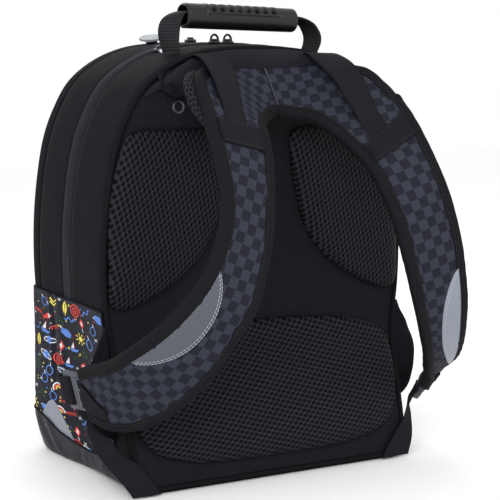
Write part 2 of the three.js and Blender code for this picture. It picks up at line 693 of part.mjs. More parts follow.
// Three-cornered wing from the side seam to the strap end
function sideWing(side) {
  const layer = (offset) => WING.map((row) => {
    const z = WING_BOTTOM + (WING_TOP - WING_BOTTOM) * row.height;
    const base = rimPoint(sideSample(z, side), backY(z), -GAP);
    const reach = (side < 0 ? WING_REACH_LEFT : WING_REACH_RIGHT) * row.reach;
    return [0, 0.5, 1].map((share) => vec(base.x + side * reach * share,
      -BACK_FACE - GAP * 2 + offset + WING_SWEEP * row.reach * share, z));
  });
  return solidBetween(layer(0), layer(WING_THICKNESS));
}

// Cushions on the wearer's face: rows of their outline, swelling from the rim to a full middle
function padGeometry(outline, thickness) {
  const curve = new THREE.CatmullRomCurve3(outline, true, 'centripetal');
  const rim = curve.getSpacedPoints(40).slice(0, -1);
  const heights = rowHeights(rim, [0, 0.06, 0.2, 0.4, 0.6, 0.8, 0.94, 1]);
  const low = heights[0];
  const high = heights[heights.length - 1];
  const layer = (swelling) => heights.map((z) => {
    const [from, to] = spanAt(rim, z);
    const up = ((z - low) / (high - low)) * 2 - 1;
    return [-1, -0.9, -0.6, 0, 0.6, 0.9, 1].map((across) => {
      const dome = Math.sqrt((1 - across ** 4) * (1 - up ** 4));
      const out = PAD_GAP + swelling * (PAD_RIM + (thickness - PAD_RIM) * dome);
      return vec(THREE.MathUtils.lerp(from, to, (across + 1) / 2), backY(z) - out, z);
    });
  });
  return solidBetween(layer(1), layer(0));
}
function padPoint(row, side) {
  return vec(side * row.width * BODY_HALF_WIDTH, 0, row.height * BODY_HEIGHT);
}
const lowerPadRight = LOWER_PAD.map((row) => padPoint(row, 1));
const lowerPadLeft = LOWER_PAD.slice(1, -1).reverse().map((row) => padPoint(row, -1));
const lowerPadRim = [...lowerPadRight, ...lowerPadLeft];
addPiece('lower_mesh_pad', padGeometry(lowerPadRim, LOWER_PAD_THICKNESS), MESH_BLACK);

// Padded roll under the top edge of the board
const boardTop = boardRim.filter((p) => p.z > BODY_HEIGHT * 0.8).sort((a, b) => a.x - b.x);
function rollGeometry() {
  const steps = 12;
  const section = [[0, 0], [0.5, 0.85], [0.8, 1], [1, 0.6], [1, 0]];
  const rings = Array.from({ length: steps + 1 }, (_, i) => {
    const x = ROLL_HALF_LENGTH * (2 * (i / steps) - 1);
    const top = interpolate(boardTop, 'x', 'z', x) - GAP;
    const plump = 0.35 + 0.65 * Math.sqrt(1 - (x / ROLL_HALF_LENGTH) ** 6);
    return section.map(([up, out]) => vec(x, -BACK_FACE - GAP - ROLL_DEPTH * out * plump,
      top - ROLL_HEIGHT * (1 - up)));
  });
  return solidThrough(rings, section);
}
addPiece('top_roll', rollGeometry(), NYLON_BLACK);

// Edge curves of a ribbon whose rows give its outer and inner edge as shares
function ribbonEdges(rows, side, sewn = []) {
  const place = (x, y, z) => vec(side * x * BODY_HALF_WIDTH, -BACK_FACE - y * STRAP_REACH, z * BODY_HEIGHT);
  const outer = rows.map((row) => place(row.outX, row.outY, row.outZ)).concat(sewn.map((pair) => pair[0]));
  const inner = rows.map((row) => place(row.inX, row.inY, row.inZ)).concat(sewn.map((pair) => pair[1]));
  return {
    outer: new THREE.CatmullRomCurve3(outer, false, 'centripetal'),
    inner: new THREE.CatmullRomCurve3(inner, false, 'centripetal'),
    last: outer.length - 1,
  };
}

// Frame of a ribbon at a place given in rows: middle, width direction, outward normal, half width
function ribbonFrame(edges, place) {
  const t = THREE.MathUtils.clamp(place / edges.last, 0, 1);
  const outer = edges.outer.getPoint(t);
  const inner = edges.inner.getPoint(t);
  const step = 0.2 / edges.last;
  const middleAt = (s) => {
    const u = THREE.MathUtils.clamp(s, 0, 1);
    return edges.outer.getPoint(u).add(edges.inner.getPoint(u)).multiplyScalar(0.5);
  };
  const along = middleAt(t + step).sub(middleAt(t - step)).normalize();
  const across = inner.clone().sub(outer);
  const half = across.length() / 2;
  across.normalize();
  const normal = along.clone().cross(across).normalize();
  return { middle: outer.clone().add(inner).multiplyScalar(0.5), across, along, normal, half };
}

function outwardFrames(edges, side, from, to, count) {
  return Array.from({ length: count + 1 }, (_, i) => {
    const frame = ribbonFrame(edges, from + (to - from) * (i / count));
    if (side > 0) frame.normal.negate();
    if (from < 1 && i === 0) frame.normal.setX(0).normalize();
    return frame;
  });
}

function onFrame(frame, across, out) {
  return frame.middle.clone().addScaledVector(frame.across, across).addScaledVector(frame.normal, out);
}

// Strap core: padded, a little thinner towards its bound edges
const coreInset = BINDING_THICKNESS + BINDING_GAP;
function strapCore(frames) {
  const half = STRAP_THICKNESS / 2;
  const sectionAt = (frame) => {
    const w = frame.half - coreInset;
    return [[-w, -half + 1], [-w + 3, -half], [w - 3, -half], [w, -half + 1],
      [w, half - 1], [w - 3, half], [-w + 3, half], [-w, half - 1]];
  };
  const rings = frames.map((frame) => sectionAt(frame).map(([a, b]) => onFrame(frame, a, b)));
  return solidThrough(rings, sectionAt(frames[0]));
}

// Folded binding along one edge of a strap: edge -1 is the outer, 1 the inner edge
function strapBinding(frames, edge) {
  const inner = STRAP_THICKNESS / 2 + BINDING_GAP;
  const outer = inner + BINDING_THICKNESS;
  const sectionAt = (frame) => {
    const tip = frame.half;
    const root = frame.half - BINDING_WIDTH;
    const web = tip - BINDING_THICKNESS;
    return [[root, -outer], [tip, -outer], [tip, outer], [root, outer],
      [root, inner], [web, inner], [web, -inner], [root, -inner]].map(([a, b]) => [edge * a, b]);
  };
  const rings = frames.map((frame) => sectionAt(frame).map(([a, b]) => onFrame(frame, a, b)));
  return solidThrough(rings, sectionAt(frames[0]));
}

// Flat sheet on the strap's outer face between two places, from one side distance to another
function sheetOnStrap(frames, fromAt, toAt, lift, thickness, columns = 2) {
  const layer = (out) => frames.map((frame, i) => {
    const from = fromAt(frame, i / (frames.length - 1));
    const to = toAt(frame, i / (frames.length - 1));
    return Array.from({ length: columns + 1 }, (_, c) =>
      onFrame(frame, THREE.MathUtils.lerp(from, to, c / columns), out));
  });
  return solidBetween(layer(lift + thickness), layer(lift));
}

// Ribbon of even thickness between two edge curves
function ribbonGeometry(edges, side, thickness, count, columns = 2) {
  const frames = outwardFrames(edges, side, 0, edges.last, count);
  return sheetOnStrap(frames, (f) => -f.half, (f) => f.half, -thickness / 2, thickness, columns);
}

// Box between two corners, and the box left when others are cut from it
function box(from, to) {
  const size = to.clone().sub(from);
  const middle = to.clone().add(from).multiplyScalar(0.5);
  return new THREE.BoxGeometry(size.x, size.y, size.z).translate(middle.x, middle.y, middle.z);
}

function toSolid(geometry) {
  const bare = new THREE.BufferGeometry();
  bare.setAttribute('position', geometry.attributes.position);
  if (geometry.index) bare.setIndex(geometry.index);
  const merged = mergeVertices(bare, 1e-4);
  return new manifold.Manifold(new manifold.Mesh({
    numProp: 3,
    vertProperties: new Float32Array(merged.attributes.position.array),
    triVerts: new Uint32Array(merged.index.array),
  }));
}

function cutFrom(geometry, tools) {
  const solid = tools.reduce((left, tool) => left.subtract(toSolid(tool)), toSolid(geometry));
  const mesh = solid.getMesh();
  const cut = new THREE.BufferGeometry();
  cut.setAttribute('position', new THREE.BufferAttribute(mesh.vertProperties, 3));
  cut.setIndex(new THREE.BufferAttribute(mesh.triVerts, 1));
  return cut;
}

// Ladder-lock: a frame with two slots beside its middle bar; webbing crosses it along x
const slotLength = (BUCKLE_LENGTH - BUCKLE_BAR * 3) / 2;
const slotHalf = BUCKLE_HEIGHT / 2 - BUCKLE_BAR;
function ladderLock() {
  const size = vec(BUCKLE_LENGTH / 2, BUCKLE_HEIGHT / 2, BUCKLE_THICKNESS / 2);
  const slots = [-BUCKLE_BAR / 2 - slotLength, BUCKLE_BAR / 2].map((from) =>
    box(vec(from, -slotHalf, -BUCKLE_THICKNESS), vec(from + slotLength, slotHalf, BUCKLE_THICKNESS)));
  return cutFrom(box(size.clone().negate(), size), slots);
}

// Webbing loop round a bar of the buckle, from the bar's near side to its far side
function barLoop(from, to) {
  const inner = BUCKLE_THICKNESS / 2 + GAP;
  const outer = inner + WEBBING_THICKNESS;
  const half = slotHalf - GAP * 2;
  const wall = GAP + WEBBING_THICKNESS;
  const around = box(vec(from - wall, -half, -outer), vec(to + wall, half, outer));
  const hollow = box(vec(from - GAP, -BUCKLE_HEIGHT, -inner), vec(to + GAP, BUCKLE_HEIGHT, inner));
  return cutFrom(around, [hollow]);
}

function addBuckle(name, end) {
  const offset = GAP * 2 + WEBBING_THICKNESS + BUCKLE_LENGTH / 2;
  const depth = end.along.clone().cross(end.across).normalize();
  const along = end.across.clone().cross(depth);
  const place = new THREE.Group();
  place.matrixAutoUpdate = false;
  place.matrix.makeBasis(along, end.across, depth);
  place.matrix.setPosition(end.middle.clone().addScaledVector(along, offset));
  const half = BUCKLE_LENGTH / 2;
  const lock = addPiece(`ladder_lock_${name}`, ladderLock(), BUCKLE_GREY, 0.5);
  const nearLoop = barLoop(-half, -half + BUCKLE_BAR);
  const farLoop = barLoop(half - BUCKLE_BAR, half + LOOP_BULGE);
  const near = addPiece(`strap_end_loop_${name}`, nearLoop, BINDING_BLACK);
  const far = addPiece(`adjuster_loop_${name}`, farLoop, BINDING_BLACK);
  place.add(lock, near, far);
  group.add(place);
}

// Everything that belongs to one strap
for (const [name, harness] of Object.entries(HARNESS)) {
  const { side, rows } = harness;
  const edges = ribbonEdges(rows, side);
  const frames = outwardFrames(edges, side, SEAM_PLACE, edges.last, STRAP_STATIONS);
  addPiece(`shoulder_strap_${name}`, strapCore(frames), CHECKER_SLATE);
  addPiece(`strap_outer_binding_${name}`, strapBinding(frames, -1), BINDING_BLACK);
  addPiece(`strap_inner_binding_${name}`, strapBinding(frames, 1), BINDING_BLACK);

  const faceLift = STRAP_THICKNESS / 2 + GAP;
  const edgeOf = (frame) => frame.half - BINDING_WIDTH - GAP;
  const bandFrames = outwardFrames(edges, side, harness.bandFrom, harness.bandTo, 3);
  addPiece(`cross_band_${name}`, sheetOnStrap(bandFrames, (f) => -edgeOf(f), edgeOf, faceLift,
    BAND_THICKNESS, 3), BINDING_BLACK);
  const patchFrames = outwardFrames(edges, side, harness.patchFrom, harness.patchTo, 12);
  const bulge = (t) => 2 * STRAP_REFLECTOR_SHARE * Math.sin(Math.PI * t) ** 0.8;
  const leaf = (f, t) => -edgeOf(f) + REFLECTOR_SEAM / 4 + edgeOf(f) * bulge(t);
  addPiece(`strap_reflector_${name}`, sheetOnStrap(patchFrames, (f) => -edgeOf(f), leaf, faceLift,
    REFLECTOR_THICKNESS, 3), REFLECTIVE_GREY, 0.4);

  addPiece(`upper_mesh_pad_${name}`, padGeometry(UPPER_PAD.map((row) => padPoint(row, side)),
    UPPER_PAD_THICKNESS), MESH_BLACK);
  const sewn = LIFTER_SEAT.map((back) => {
    const [frame] = outwardFrames(edges, side, harness.bandFrom - back, harness.bandFrom, 1);
    return [-1, 1].map((edge) => onFrame(frame, LIFTER_WIDTH * (harness.lifterShift + edge / 2),
      faceLift + GAP + WEBBING_THICKNESS / 2));
  });
  const lifter = ribbonEdges(side < 0 ? LIFTER_LEFT : LIFTER_RIGHT, side, sewn);
  addPiece(`load_lifter_${name}`, ribbonGeometry(lifter, side, WEBBING_THICKNESS, 14), BINDING_BLACK);
  const tabFrames = outwardFrames(edges, side, edges.last - END_TAB.rows, edges.last, 4);
  addPiece(`strap_end_tab_${name}`, sheetOnStrap(tabFrames,
    (f, t) => edgeOf(f) * THREE.MathUtils.lerp(END_TAB.start, -END_TAB.edge, t),
    (f) => edgeOf(f) * END_TAB.edge,
    faceLift, WEBBING_THICKNESS), BINDING_BLACK);
  addBuckle(name, ribbonFrame(edges, edges.last));
  const webbing = ribbonEdges(side < 0 ? LOWER_WEBBING_LEFT : LOWER_WEBBING_RIGHT, side);
  addPiece(`lower_webbing_${name}`, ribbonGeometry(webbing, side, WEBBING_THICKNESS, 12), BINDING_BLACK);
  addPiece(`side_wing_${name}`, sideWing(side), NYLON_BLACK);
  addPiece(`print_panel_${name}`, printPanel(side), PRINT_NAVY);
  addPiece(`side_reflector_${name}`, sideReflector(side), REFLECTIVE_GREY, 0.4);
}

// Point on the top of the rim at a given x
const topRim = RIM.filter((s) => s.nz > 0.3).sort((a, b) => a.x - b.x);
function topSample(x) {
  const at = (key) => interpolate(topRim, 'x', key, x);
  const normal = vec(at('nx'), 0, at('nz')).normalize();
  return { x, z: at('z'), nx: normal.x, nz: normal.z };
}

// Group standing on a zip at a share of the half width, its z axis away from the bag
function onZip(share, place, height) {
  const sample = topSample(share * BODY_HALF_WIDTH);
  const mount = new THREE.Group();
  mount.position.copy(rimPoint(sample, place, -height));
  mount.rotation.y = Math.atan2(sample.nx, sample.nz);
  group.add(mount);
  return mount;
}

const sliderHeight = SLIDER_HEIGHT / 2 + GAP - ZIP_SINK;
const sliderTop = sliderHeight + SLIDER_HEIGHT / 2;
function addSlider(name, share, place, color, metalness) {
  const shape = new THREE.BoxGeometry(SLIDER_LENGTH, SLIDER_WIDTH, SLIDER_HEIGHT);
  onZip(share, place, sliderHeight).add(addPiece(name, shape, color, 0.35, metalness));
}
addSlider('main_slider_left', MAIN_SLIDERS.left, -MAIN_ZIP_PLACE, METAL_SILVER, 0.9);
addSlider('main_slider_middle', MAIN_SLIDERS.middle, -MAIN_ZIP_PLACE, BUCKLE_GREY, 0.6);
addSlider('main_slider_right', MAIN_SLIDERS.right, -MAIN_ZIP_PLACE, BUCKLE_GREY, 0.6);
addSlider('second_slider_left', SECOND_SLIDERS.left, SECOND_ZIP_PLACE, METAL_SILVER, 0.9);
addSlider('second_slider_right', SECOND_SLIDERS.right, SECOND_ZIP_PLACE, BUCKLE_GREY, 0.6);

// Pull rings standing on the two middle sliders
for (const name of ['middle', 'right']) {
  const ring = new THREE.TorusGeometry(PULL_RADIUS, PULL_WIRE, 6, 12).rotateX(Math.PI / 2);
  const height = sliderTop + GAP + PULL_RADIUS + PULL_WIRE;
  const mount = onZip(MAIN_SLIDERS[name], -MAIN_ZIP_PLACE, height);
  mount.add(addPiece(`main_pull_${name}`, ring, BUCKLE_GREY, 0.3));
}

// Flat oval pull leaning on the left slider of the second zip
function addOvalPull() {
  const disc = new THREE.CylinderGeometry(0.5, 0.5, OVAL_PULL_THICKNESS, 18).rotateX(Math.PI / 2);
  disc.scale(OVAL_PULL_LENGTH, OVAL_PULL_WIDTH, 1);
  const tilt = THREE.MathUtils.degToRad(OVAL_PULL_TILT);
  disc.rotateX(tilt);
  const drop = (SLIDER_WIDTH / 2) * Math.tan(tilt) + OVAL_PULL_THICKNESS / 2 / Math.cos(tilt);
  const mount = onZip(SECOND_SLIDERS.left, SECOND_ZIP_PLACE, sliderTop + GAP + drop);
  mount.add(addPiece('oval_pull', disc, BUCKLE_GREY, 0.4));
}
addOvalPull();

// Moulded grip: a rounded sleeve with a flat-topped hollow and slots across its crown
const gripTop = GRIP_HEIGHT / 2;
const hollowHalf = GRIP_WIDTH / 2 - GRIP_WALL;
const hollowTop = gripTop - GRIP_WALL * 1.3;
const hollowShoulder = hollowTop / 2;
const gripCentre = vec(GRIP_SHIFT, -HANDLE_PLACE, BODY_HEIGHT + GRIP_RISE);

function gripGeometry() {
  const shape = new THREE.Shape(Array.from({ length: GRIP_SIDES }, (_, i) => {
    const angle = (i / GRIP_SIDES) * Math.PI * 2;
    const round = (value) => Math.sign(value) * Math.abs(value) ** 0.8;
    return new THREE.Vector2(round(Math.cos(angle)) * GRIP_WIDTH / 2, round(Math.sin(angle)) * gripTop);
  }));
  const corners = [[-1, -hollowShoulder], [-0.6, -hollowTop], [0.6, -hollowTop], [1, -hollowShoulder],
    [1, hollowShoulder], [0.6, hollowTop], [-0.6, hollowTop], [-1, hollowShoulder]];
  const hollow = corners.map(([across, up]) => new THREE.Vector2(across * hollowHalf, up));
  shape.holes.push(new THREE.Path(hollow));
  const sleeve = new THREE.ExtrudeGeometry(shape, { depth: GRIP_LENGTH, bevelEnabled: false });
  sleeve.translate(0, 0, -GRIP_LENGTH / 2);
  const cut = new THREE.BoxGeometry(GRIP_SLOT_LENGTH, gripTop, GRIP_SLOT_WIDTH);
  const slots = Array.from({ length: GRIP_SLOTS }, (_, i) =>
    cut.clone().translate(0, gripTop * GRIP_SLOT_HEIGHT, (i - (GRIP_SLOTS - 1) / 2) * GRIP_SLOT_PITCH));
  return cutFrom(sleeve, slots).rotateX(Math.PI / 2).rotateZ(Math.PI / 2);
}
const grip = addPiece('handle_grip', gripGeometry(), BUCKLE_GREY, 0.45);
grip.position.copy(gripCentre);

// Handle webbing: feet on the gusset, its middle just under the roof of the grip's hollow
const webTop = gripCentre.z + hollowShoulder - HANDLE_WEB_THICKNESS / 2;
function handleWebbing() {
  const footAt = topSample(HANDLE_HALF_SPAN);
  const foot = rimPoint(footAt, -HANDLE_PLACE, -GUSSET_SWELL - HANDLE_WEB_THICKNESS).z;
  const rise = webTop - foot;
  const rows = HANDLE.map((row) => vec(row.span * HANDLE_HALF_SPAN, row.turn, foot + row.rise * rise));
  const path = new THREE.CatmullRomCurve3(rows, false, 'centripetal');
  const half = hollowHalf - GAP * 4;
  const count = 36;
  const frames = Array.from({ length: count + 1 }, (_, i) => {
    const t = i / count;
    const p = path.getPoint(t);
    const tangent = path.getTangent(t);
    const turn = THREE.MathUtils.degToRad(p.y);
    const across = vec(Math.sin(turn), -Math.cos(turn), 0);
    const along = vec(tangent.x, 0, tangent.z).normalize();
    return {
      middle: vec(p.x, -HANDLE_PLACE, p.z),
      across,
      normal: along.cross(across).normalize(),
      half,
    };
  });
  const lift = -HANDLE_WEB_THICKNESS / 2;
  return sheetOnStrap(frames, (f) => -f.half, (f) => f.half, lift, HANDLE_WEB_THICKNESS);
}
addPiece('handle_webbing', handleWebbing(), BINDING_BLACK);

// Metal ring lying against the back
const ringGeometry = new THREE.TorusGeometry(RING_RADIUS, RING_WIRE, 6, 12).rotateX(Math.PI / 2);
const ring = addPiece('metal_ring', ringGeometry, METAL_SILVER, 0.3, 0.9);
ring.position.set(-BODY_HALF_WIDTH * RING_PLACE.width, -BACK_FACE - GAP - RING_WIRE,
  BODY_HEIGHT * RING_PLACE.height);

export default group;
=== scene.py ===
"""Looks of the school ransel: every soft piece of the frame rebuilt as cloth, padding or webbing."""
import math

import bpy
import numpy as np
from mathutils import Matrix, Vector


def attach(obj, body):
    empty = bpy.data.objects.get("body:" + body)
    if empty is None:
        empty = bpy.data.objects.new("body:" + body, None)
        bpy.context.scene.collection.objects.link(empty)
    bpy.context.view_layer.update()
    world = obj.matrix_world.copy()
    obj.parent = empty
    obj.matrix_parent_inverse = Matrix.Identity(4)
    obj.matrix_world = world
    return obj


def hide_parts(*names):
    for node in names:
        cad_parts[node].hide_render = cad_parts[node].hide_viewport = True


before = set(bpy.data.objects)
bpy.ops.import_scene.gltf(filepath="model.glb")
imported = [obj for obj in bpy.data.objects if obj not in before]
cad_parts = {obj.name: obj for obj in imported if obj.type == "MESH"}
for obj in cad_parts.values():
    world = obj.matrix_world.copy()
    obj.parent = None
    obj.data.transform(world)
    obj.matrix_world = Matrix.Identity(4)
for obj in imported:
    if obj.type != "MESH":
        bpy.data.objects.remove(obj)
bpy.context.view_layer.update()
MM = 0.001
FULL = 2 * math.pi

# Sizes of the frame, in millimetres
BODY_HEIGHT, BODY_HALF_WIDTH = 420.0, 168.0
BACK_FACE, FRONT_FACE, FRONT_RISE, FRONT_ROUND = 93.0, 96.0, 5.0, 20.0
LUMBAR_REACH, LUMBAR_TOP, LUMBAR_FLAT = 35.0, 150.0, 14.0
GAP, BOOT_WALL, BOOT_TOP_FRONT = 0.3, 2.2, 46.0
PIPING_RADIUS = 2.5
BASE_LIFT = BOOT_WALL + GAP
MAIN_ZIP_PLACE, ZIP_WIDTH, WELT_WIDTH, SECOND_ZIP_PLACE = 20.0, 9.0, 19.0, 60.0
PRINT_TOP, PRINT_OUT = 172.0, 1.9
STRAP_REACH = 139.0
BINDING_WIDTH, BINDING_THICKNESS, BINDING_GAP = 11.0, 1.2, 0.8
SEAM_DEPTH = PIPING_RADIUS + GAP * 2

# Outlines as shares of the body's height and half width
OUTLINE = [(0.034, 0.908), (0.15, 0.932), (0.30, 0.960), (0.42, 0.996), (0.55, 1.000), (0.67, 0.973),
           (0.772, 0.924), (0.840, 0.857), (0.905, 0.757), (0.953, 0.605), (0.985, 0.415), (0.998, 0.200),
           (1.0, 0.0)]
BASE_CORNER = [(0.008, 0.885), (0.0, 0.830), (0.0, 0.500)]
UPPER_PAD = [(0.22, 0.802), (0.21, 0.745), (0.25, 0.655), (0.30, 0.585), (0.42, 0.512), (0.66, 0.445),
             (0.94, 0.415), (0.970, 0.520), (0.956, 0.655), (0.900, 0.755), (0.84, 0.802), (0.50, 0.810)]
LOWER_PAD = [(0.0, 0.362), (0.33, 0.358), (0.62, 0.345), (0.86, 0.310), (0.905, 0.265), (0.885, 0.160),
             (0.80, 0.100), (0.58, 0.066), (0.28, 0.056), (0.0, 0.055)]

# Ribbons: shares of width, reach and height for the outer edge, then for the inner edge
STRAP_LEFT = [
    (0.000, 0.043, 0.948, 0.000, 0.266, 0.843), (0.202, 0.062, 0.950, 0.075, 0.324, 0.836),
    (0.417, 0.200, 0.950, 0.131, 0.396, 0.828), (0.595, 0.400, 0.935, 0.190, 0.482, 0.822),
    (0.643, 0.570, 0.888, 0.232, 0.568, 0.817), (0.655, 0.683, 0.843, 0.262, 0.662, 0.805),
    (0.667, 0.827, 0.780, 0.298, 0.799, 0.740), (0.673, 0.942, 0.695, 0.345, 0.906, 0.664),
    (0.696, 0.985, 0.633, 0.369, 0.935, 0.600), (0.750, 1.000, 0.574, 0.411, 0.950, 0.521),
    (0.815, 1.000, 0.524, 0.470, 0.942, 0.443), (0.905, 0.964, 0.474, 0.560, 0.892, 0.376),
    (1.012, 0.870, 0.421, 0.685, 0.799, 0.290), (1.113, 0.698, 0.371, 0.821, 0.626, 0.217),
    (1.161, 0.482, 0.333, 0.952, 0.410, 0.171), (1.173, 0.266, 0.314, 1.054, 0.216, 0.164),
    (1.185, 0.130, 0.300, 1.105, 0.100, 0.181)]
STRAP_RIGHT = [
    (0.000, 0.043, 0.948, 0.000, 0.266, 0.843), (0.238, 0.062, 0.952, 0.095, 0.309, 0.836),
    (0.429, 0.165, 0.955, 0.167, 0.381, 0.829), (0.583, 0.309, 0.945, 0.226, 0.468, 0.810),
    (0.650, 0.446, 0.912, 0.274, 0.554, 0.786), (0.680, 0.554, 0.879, 0.298, 0.626, 0.767),
    (0.696, 0.669, 0.843, 0.321, 0.712, 0.745), (0.714, 0.813, 0.783, 0.345, 0.813, 0.712),
    (0.750, 0.914, 0.717, 0.375, 0.899, 0.662), (0.792, 0.971, 0.652, 0.411, 0.950, 0.610),
    (0.845, 1.000, 0.562, 0.452, 0.971, 0.552), (0.881, 0.993, 0.495, 0.500, 0.964, 0.495),
    (0.929, 0.950, 0.419, 0.577, 0.921, 0.419), (1.030, 0.770, 0.338, 0.702, 0.799, 0.333),
    (1.107, 0.612, 0.290, 0.786, 0.698, 0.288), (1.179, 0.424, 0.252, 0.875, 0.568, 0.243),
    (1.220, 0.252, 0.229, 0.976, 0.424, 0.198), (1.226, 0.137, 0.224, 1.071, 0.237, 0.160)]
LIFTER_LEFT = [
    (0.464, 0.026, 0.976, 0.262, 0.026, 0.987), (0.470, 0.105, 0.980, 0.268, 0.105, 0.984),
    (0.482, 0.230, 0.974, 0.290, 0.250, 0.955), (0.510, 0.420, 0.948, 0.345, 0.455, 0.910)]
LIFTER_RIGHT = [
    (0.430, 0.026, 0.978, 0.268, 0.026, 0.987), (0.432, 0.105, 0.983, 0.268, 0.105, 0.984),
    (0.440, 0.230, 0.978, 0.280, 0.245, 0.960), (0.455, 0.420, 0.948, 0.300, 0.450, 0.915)]
LOWER_LEFT = [
    (1.133, -0.066, 0.245, 1.133, -0.066, 0.185), (1.112, -0.010, 0.190, 1.085, 0.020, 0.155),
    (1.115, 0.050, 0.143, 1.025, 0.195, 0.130), (1.095, 0.125, 0.105, 1.010, 0.272, 0.109),
    (1.048, 0.210, 0.068, 0.893, 0.284, 0.075), (0.992, 0.268, 0.036, 0.826, 0.284, 0.039),
    (0.937, 0.284, 0.004, 0.764, 0.284, 0.004)]
LOWER_RIGHT = [
    (1.125, 0.060, 0.170, 1.090, 0.085, 0.140), (1.095, 0.060, 0.150, 1.045, 0.130, 0.130),
    (1.045, 0.085, 0.128, 0.965, 0.210, 0.118), (1.000, 0.190, 0.096, 0.885, 0.278, 0.088),
    (0.960, 0.275, 0.050, 0.800, 0.279, 0.046), (0.930, 0.279, 0.006, 0.740, 0.278, 0.005)]
HARNESS = {
    "left": dict(side=-1, rows=STRAP_LEFT, lifter=LIFTER_LEFT, lower=LOWER_LEFT, band=(4.95, 5.72),
                 patch=(9.5, 13.1), patch_width=0.95, lifter_shift=-3, turn=-20.0, yoke_turn=35.0,
                 bound=2.3, step=0.0, wing=26.0, seed=7),
    "right": dict(side=1, rows=STRAP_RIGHT, lifter=LIFTER_RIGHT, lower=LOWER_RIGHT, band=(5.65, 6.65),
                  patch=(10.9, 15.4), patch_width=1.24, lifter_shift=5, turn=-13.0, yoke_turn=16.0,
                  bound=2.6, step=4.72, wing=34.0, seed=19)}

# Handle webbing: share of its half span, share of its rise, turn in degrees
HANDLE = [(-1.00, 0.00, 24), (-1.03, 0.28, 34), (-1.03, 0.55, 58), (-0.98, 0.80, 36), (-0.89, 0.96, 6),
          (-0.76, 1.00, 0), (0.66, 1.00, 0), (0.82, 0.97, 4), (0.96, 0.82, 18), (1.04, 0.55, 24),
          (1.05, 0.28, 24), (1.00, 0.00, 20)]
WING = [(0.00, 0.05), (0.08, 0.55), (0.20, 0.88), (0.40, 1.00), (0.56, 0.92), (0.76, 0.58), (0.90, 0.25),
        (1.00, 0.04)]
# Depth and height of the boot's upper edge; height and bulge of the lower front; outline of the patch
BOOT_LINE = [(-128, 30), (-60, 26), (-46, 24.5), (-34, 23.0), (-16, 23.8), (2, 25.7), (12, 27.8), (31, 31.5),
             (49, 39), (66, 43.5), (80, 45.5), (96, 46)]
POCKET = [(0, 6.0), (10, 7.5), (30, 9.5), (46, 10.6), (65, 10.0), (100, 7.4), (130, 4.6), (172, 0.2)]
LEAF = [(70, 35), (66, 41), (57, 51), (48, 59), (38, 62), (27, 56), (12, 41), (2, 28), (-1, 24)]
# Folds of the boot: place, slope, height, width
FOLDS = [(-14, -0.35, 1.6, 5), (2, -0.5, -1.2, 5), (30, 0.6, 1.8, 5), (44, 0.7, -1.4, 6), (60, 0.5, 1.2, 6),
         (-52, -0.5, 1.5, 6), (-70, -0.4, -1.0, 6), (-36, 0.3, 0.9, 5)]


def catmull(points, closed=False):
    """Centripetal curve through the points, as a function of the share of its spans."""
    p = np.asarray(points, float)
    n = len(p)
    if not closed:
        p = np.concatenate([2 * p[:1] - p[1:2], p, 2 * p[-1:] - p[-2:-1]])

    def root(a, b):
        return (np.sum((a - b) ** 2, axis=1) ** 0.25)[:, None]

    def at(t):
        s = (n if closed else n - 1) * np.atleast_1d(np.asarray(t, float))
        i = np.floor(s).astype(int)
        if not closed:
            i = np.minimum(i, n - 2)
        w = (s - i)[:, None]
        p0, p1, p2, p3 = (p[(i + k - 1) % n] if closed else p[i + k] for k in range(4))
        d0, d1, d2 = root(p0, p1), root(p1, p2), root(p2, p3)
        d1 = np.where(d1 < 1e-4, 1.0, d1)
        d0, d2 = np.where(d0 < 1e-4, d1, d0), np.where(d2 < 1e-4, d1, d2)
        t1 = ((p1 - p0) / d0 - (p2 - p0) / (d0 + d1) + (p2 - p1) / d1) * d1
        t2 = ((p2 - p1) / d1 - (p3 - p1) / (d1 + d2) + (p3 - p2) / d2) * d1
        return p1 + t1 * w + (3 * p2 - 3 * p1 - 2 * t1 - t2) * w ** 2 + (2 * p1 - 2 * p2 + t1 + t2) * w ** 3
    return at


def smoothstep(x, lo, hi):
    t = np.clip((np.asarray(x, float) - lo) / (hi - lo), 0, 1)
    return t * t * (3 - 2 * t)


def unit(v):
    v = np.asarray(v, float)
    return v / np.maximum(np.linalg.norm(v, axis=-1, keepdims=True), 1e-9)


def ripple(a, b, seed, scales=((60, 1.0), (31, 0.5), (17, 0.25))):
    """Smooth fixed waviness over two lengths in millimetres, about -1 to 1."""
    rng = np.random.RandomState(seed)
    out = 0
    for wave, weight in scales:
        for _ in range(3):
            ang, ph = rng.uniform(0, math.pi), rng.uniform(0, FULL)
            out = out + weight / 3 * np.sin((np.cos(ang) * a + np.sin(ang) * b) * FULL / wave + ph)
    return out


def soft(v, power):
    """Signed power, which squares off a circle."""
    return np.sign(v) * np.abs(v) ** power


def turned(p, angle):
    """Points of a plane turned counter-clockwise by an angle in radians."""
    c, s = math.cos(angle), math.sin(angle)
    return p @ np.array([[c, s], [-s, c]])


def shell(top, low):
    """Rings that go across one skin and back along the other."""
    return np.concatenate([top, low[:, ::-1]], axis=1)


def pair(u, v):
    """Two lengths, broadcast, as pattern coordinates."""
    return np.stack(np.broadcast_arrays(u, v), axis=-1)


def arc_lengths(points):
    return np.concatenate([[0], np.cumsum(np.linalg.norm(np.diff(points, axis=0), axis=1))])


def resample(points, pitch, extra=None):
    s = arc_lengths(points)
    at = np.linspace(0, s[-1], max(2, int(round(s[-1] / pitch)) + 1))
    out = [np.stack([np.interp(at, s, v) for v in np.asarray(a, float).T], axis=1)
           for a in (points, extra) if a is not None]
    return out[0] if extra is None else out


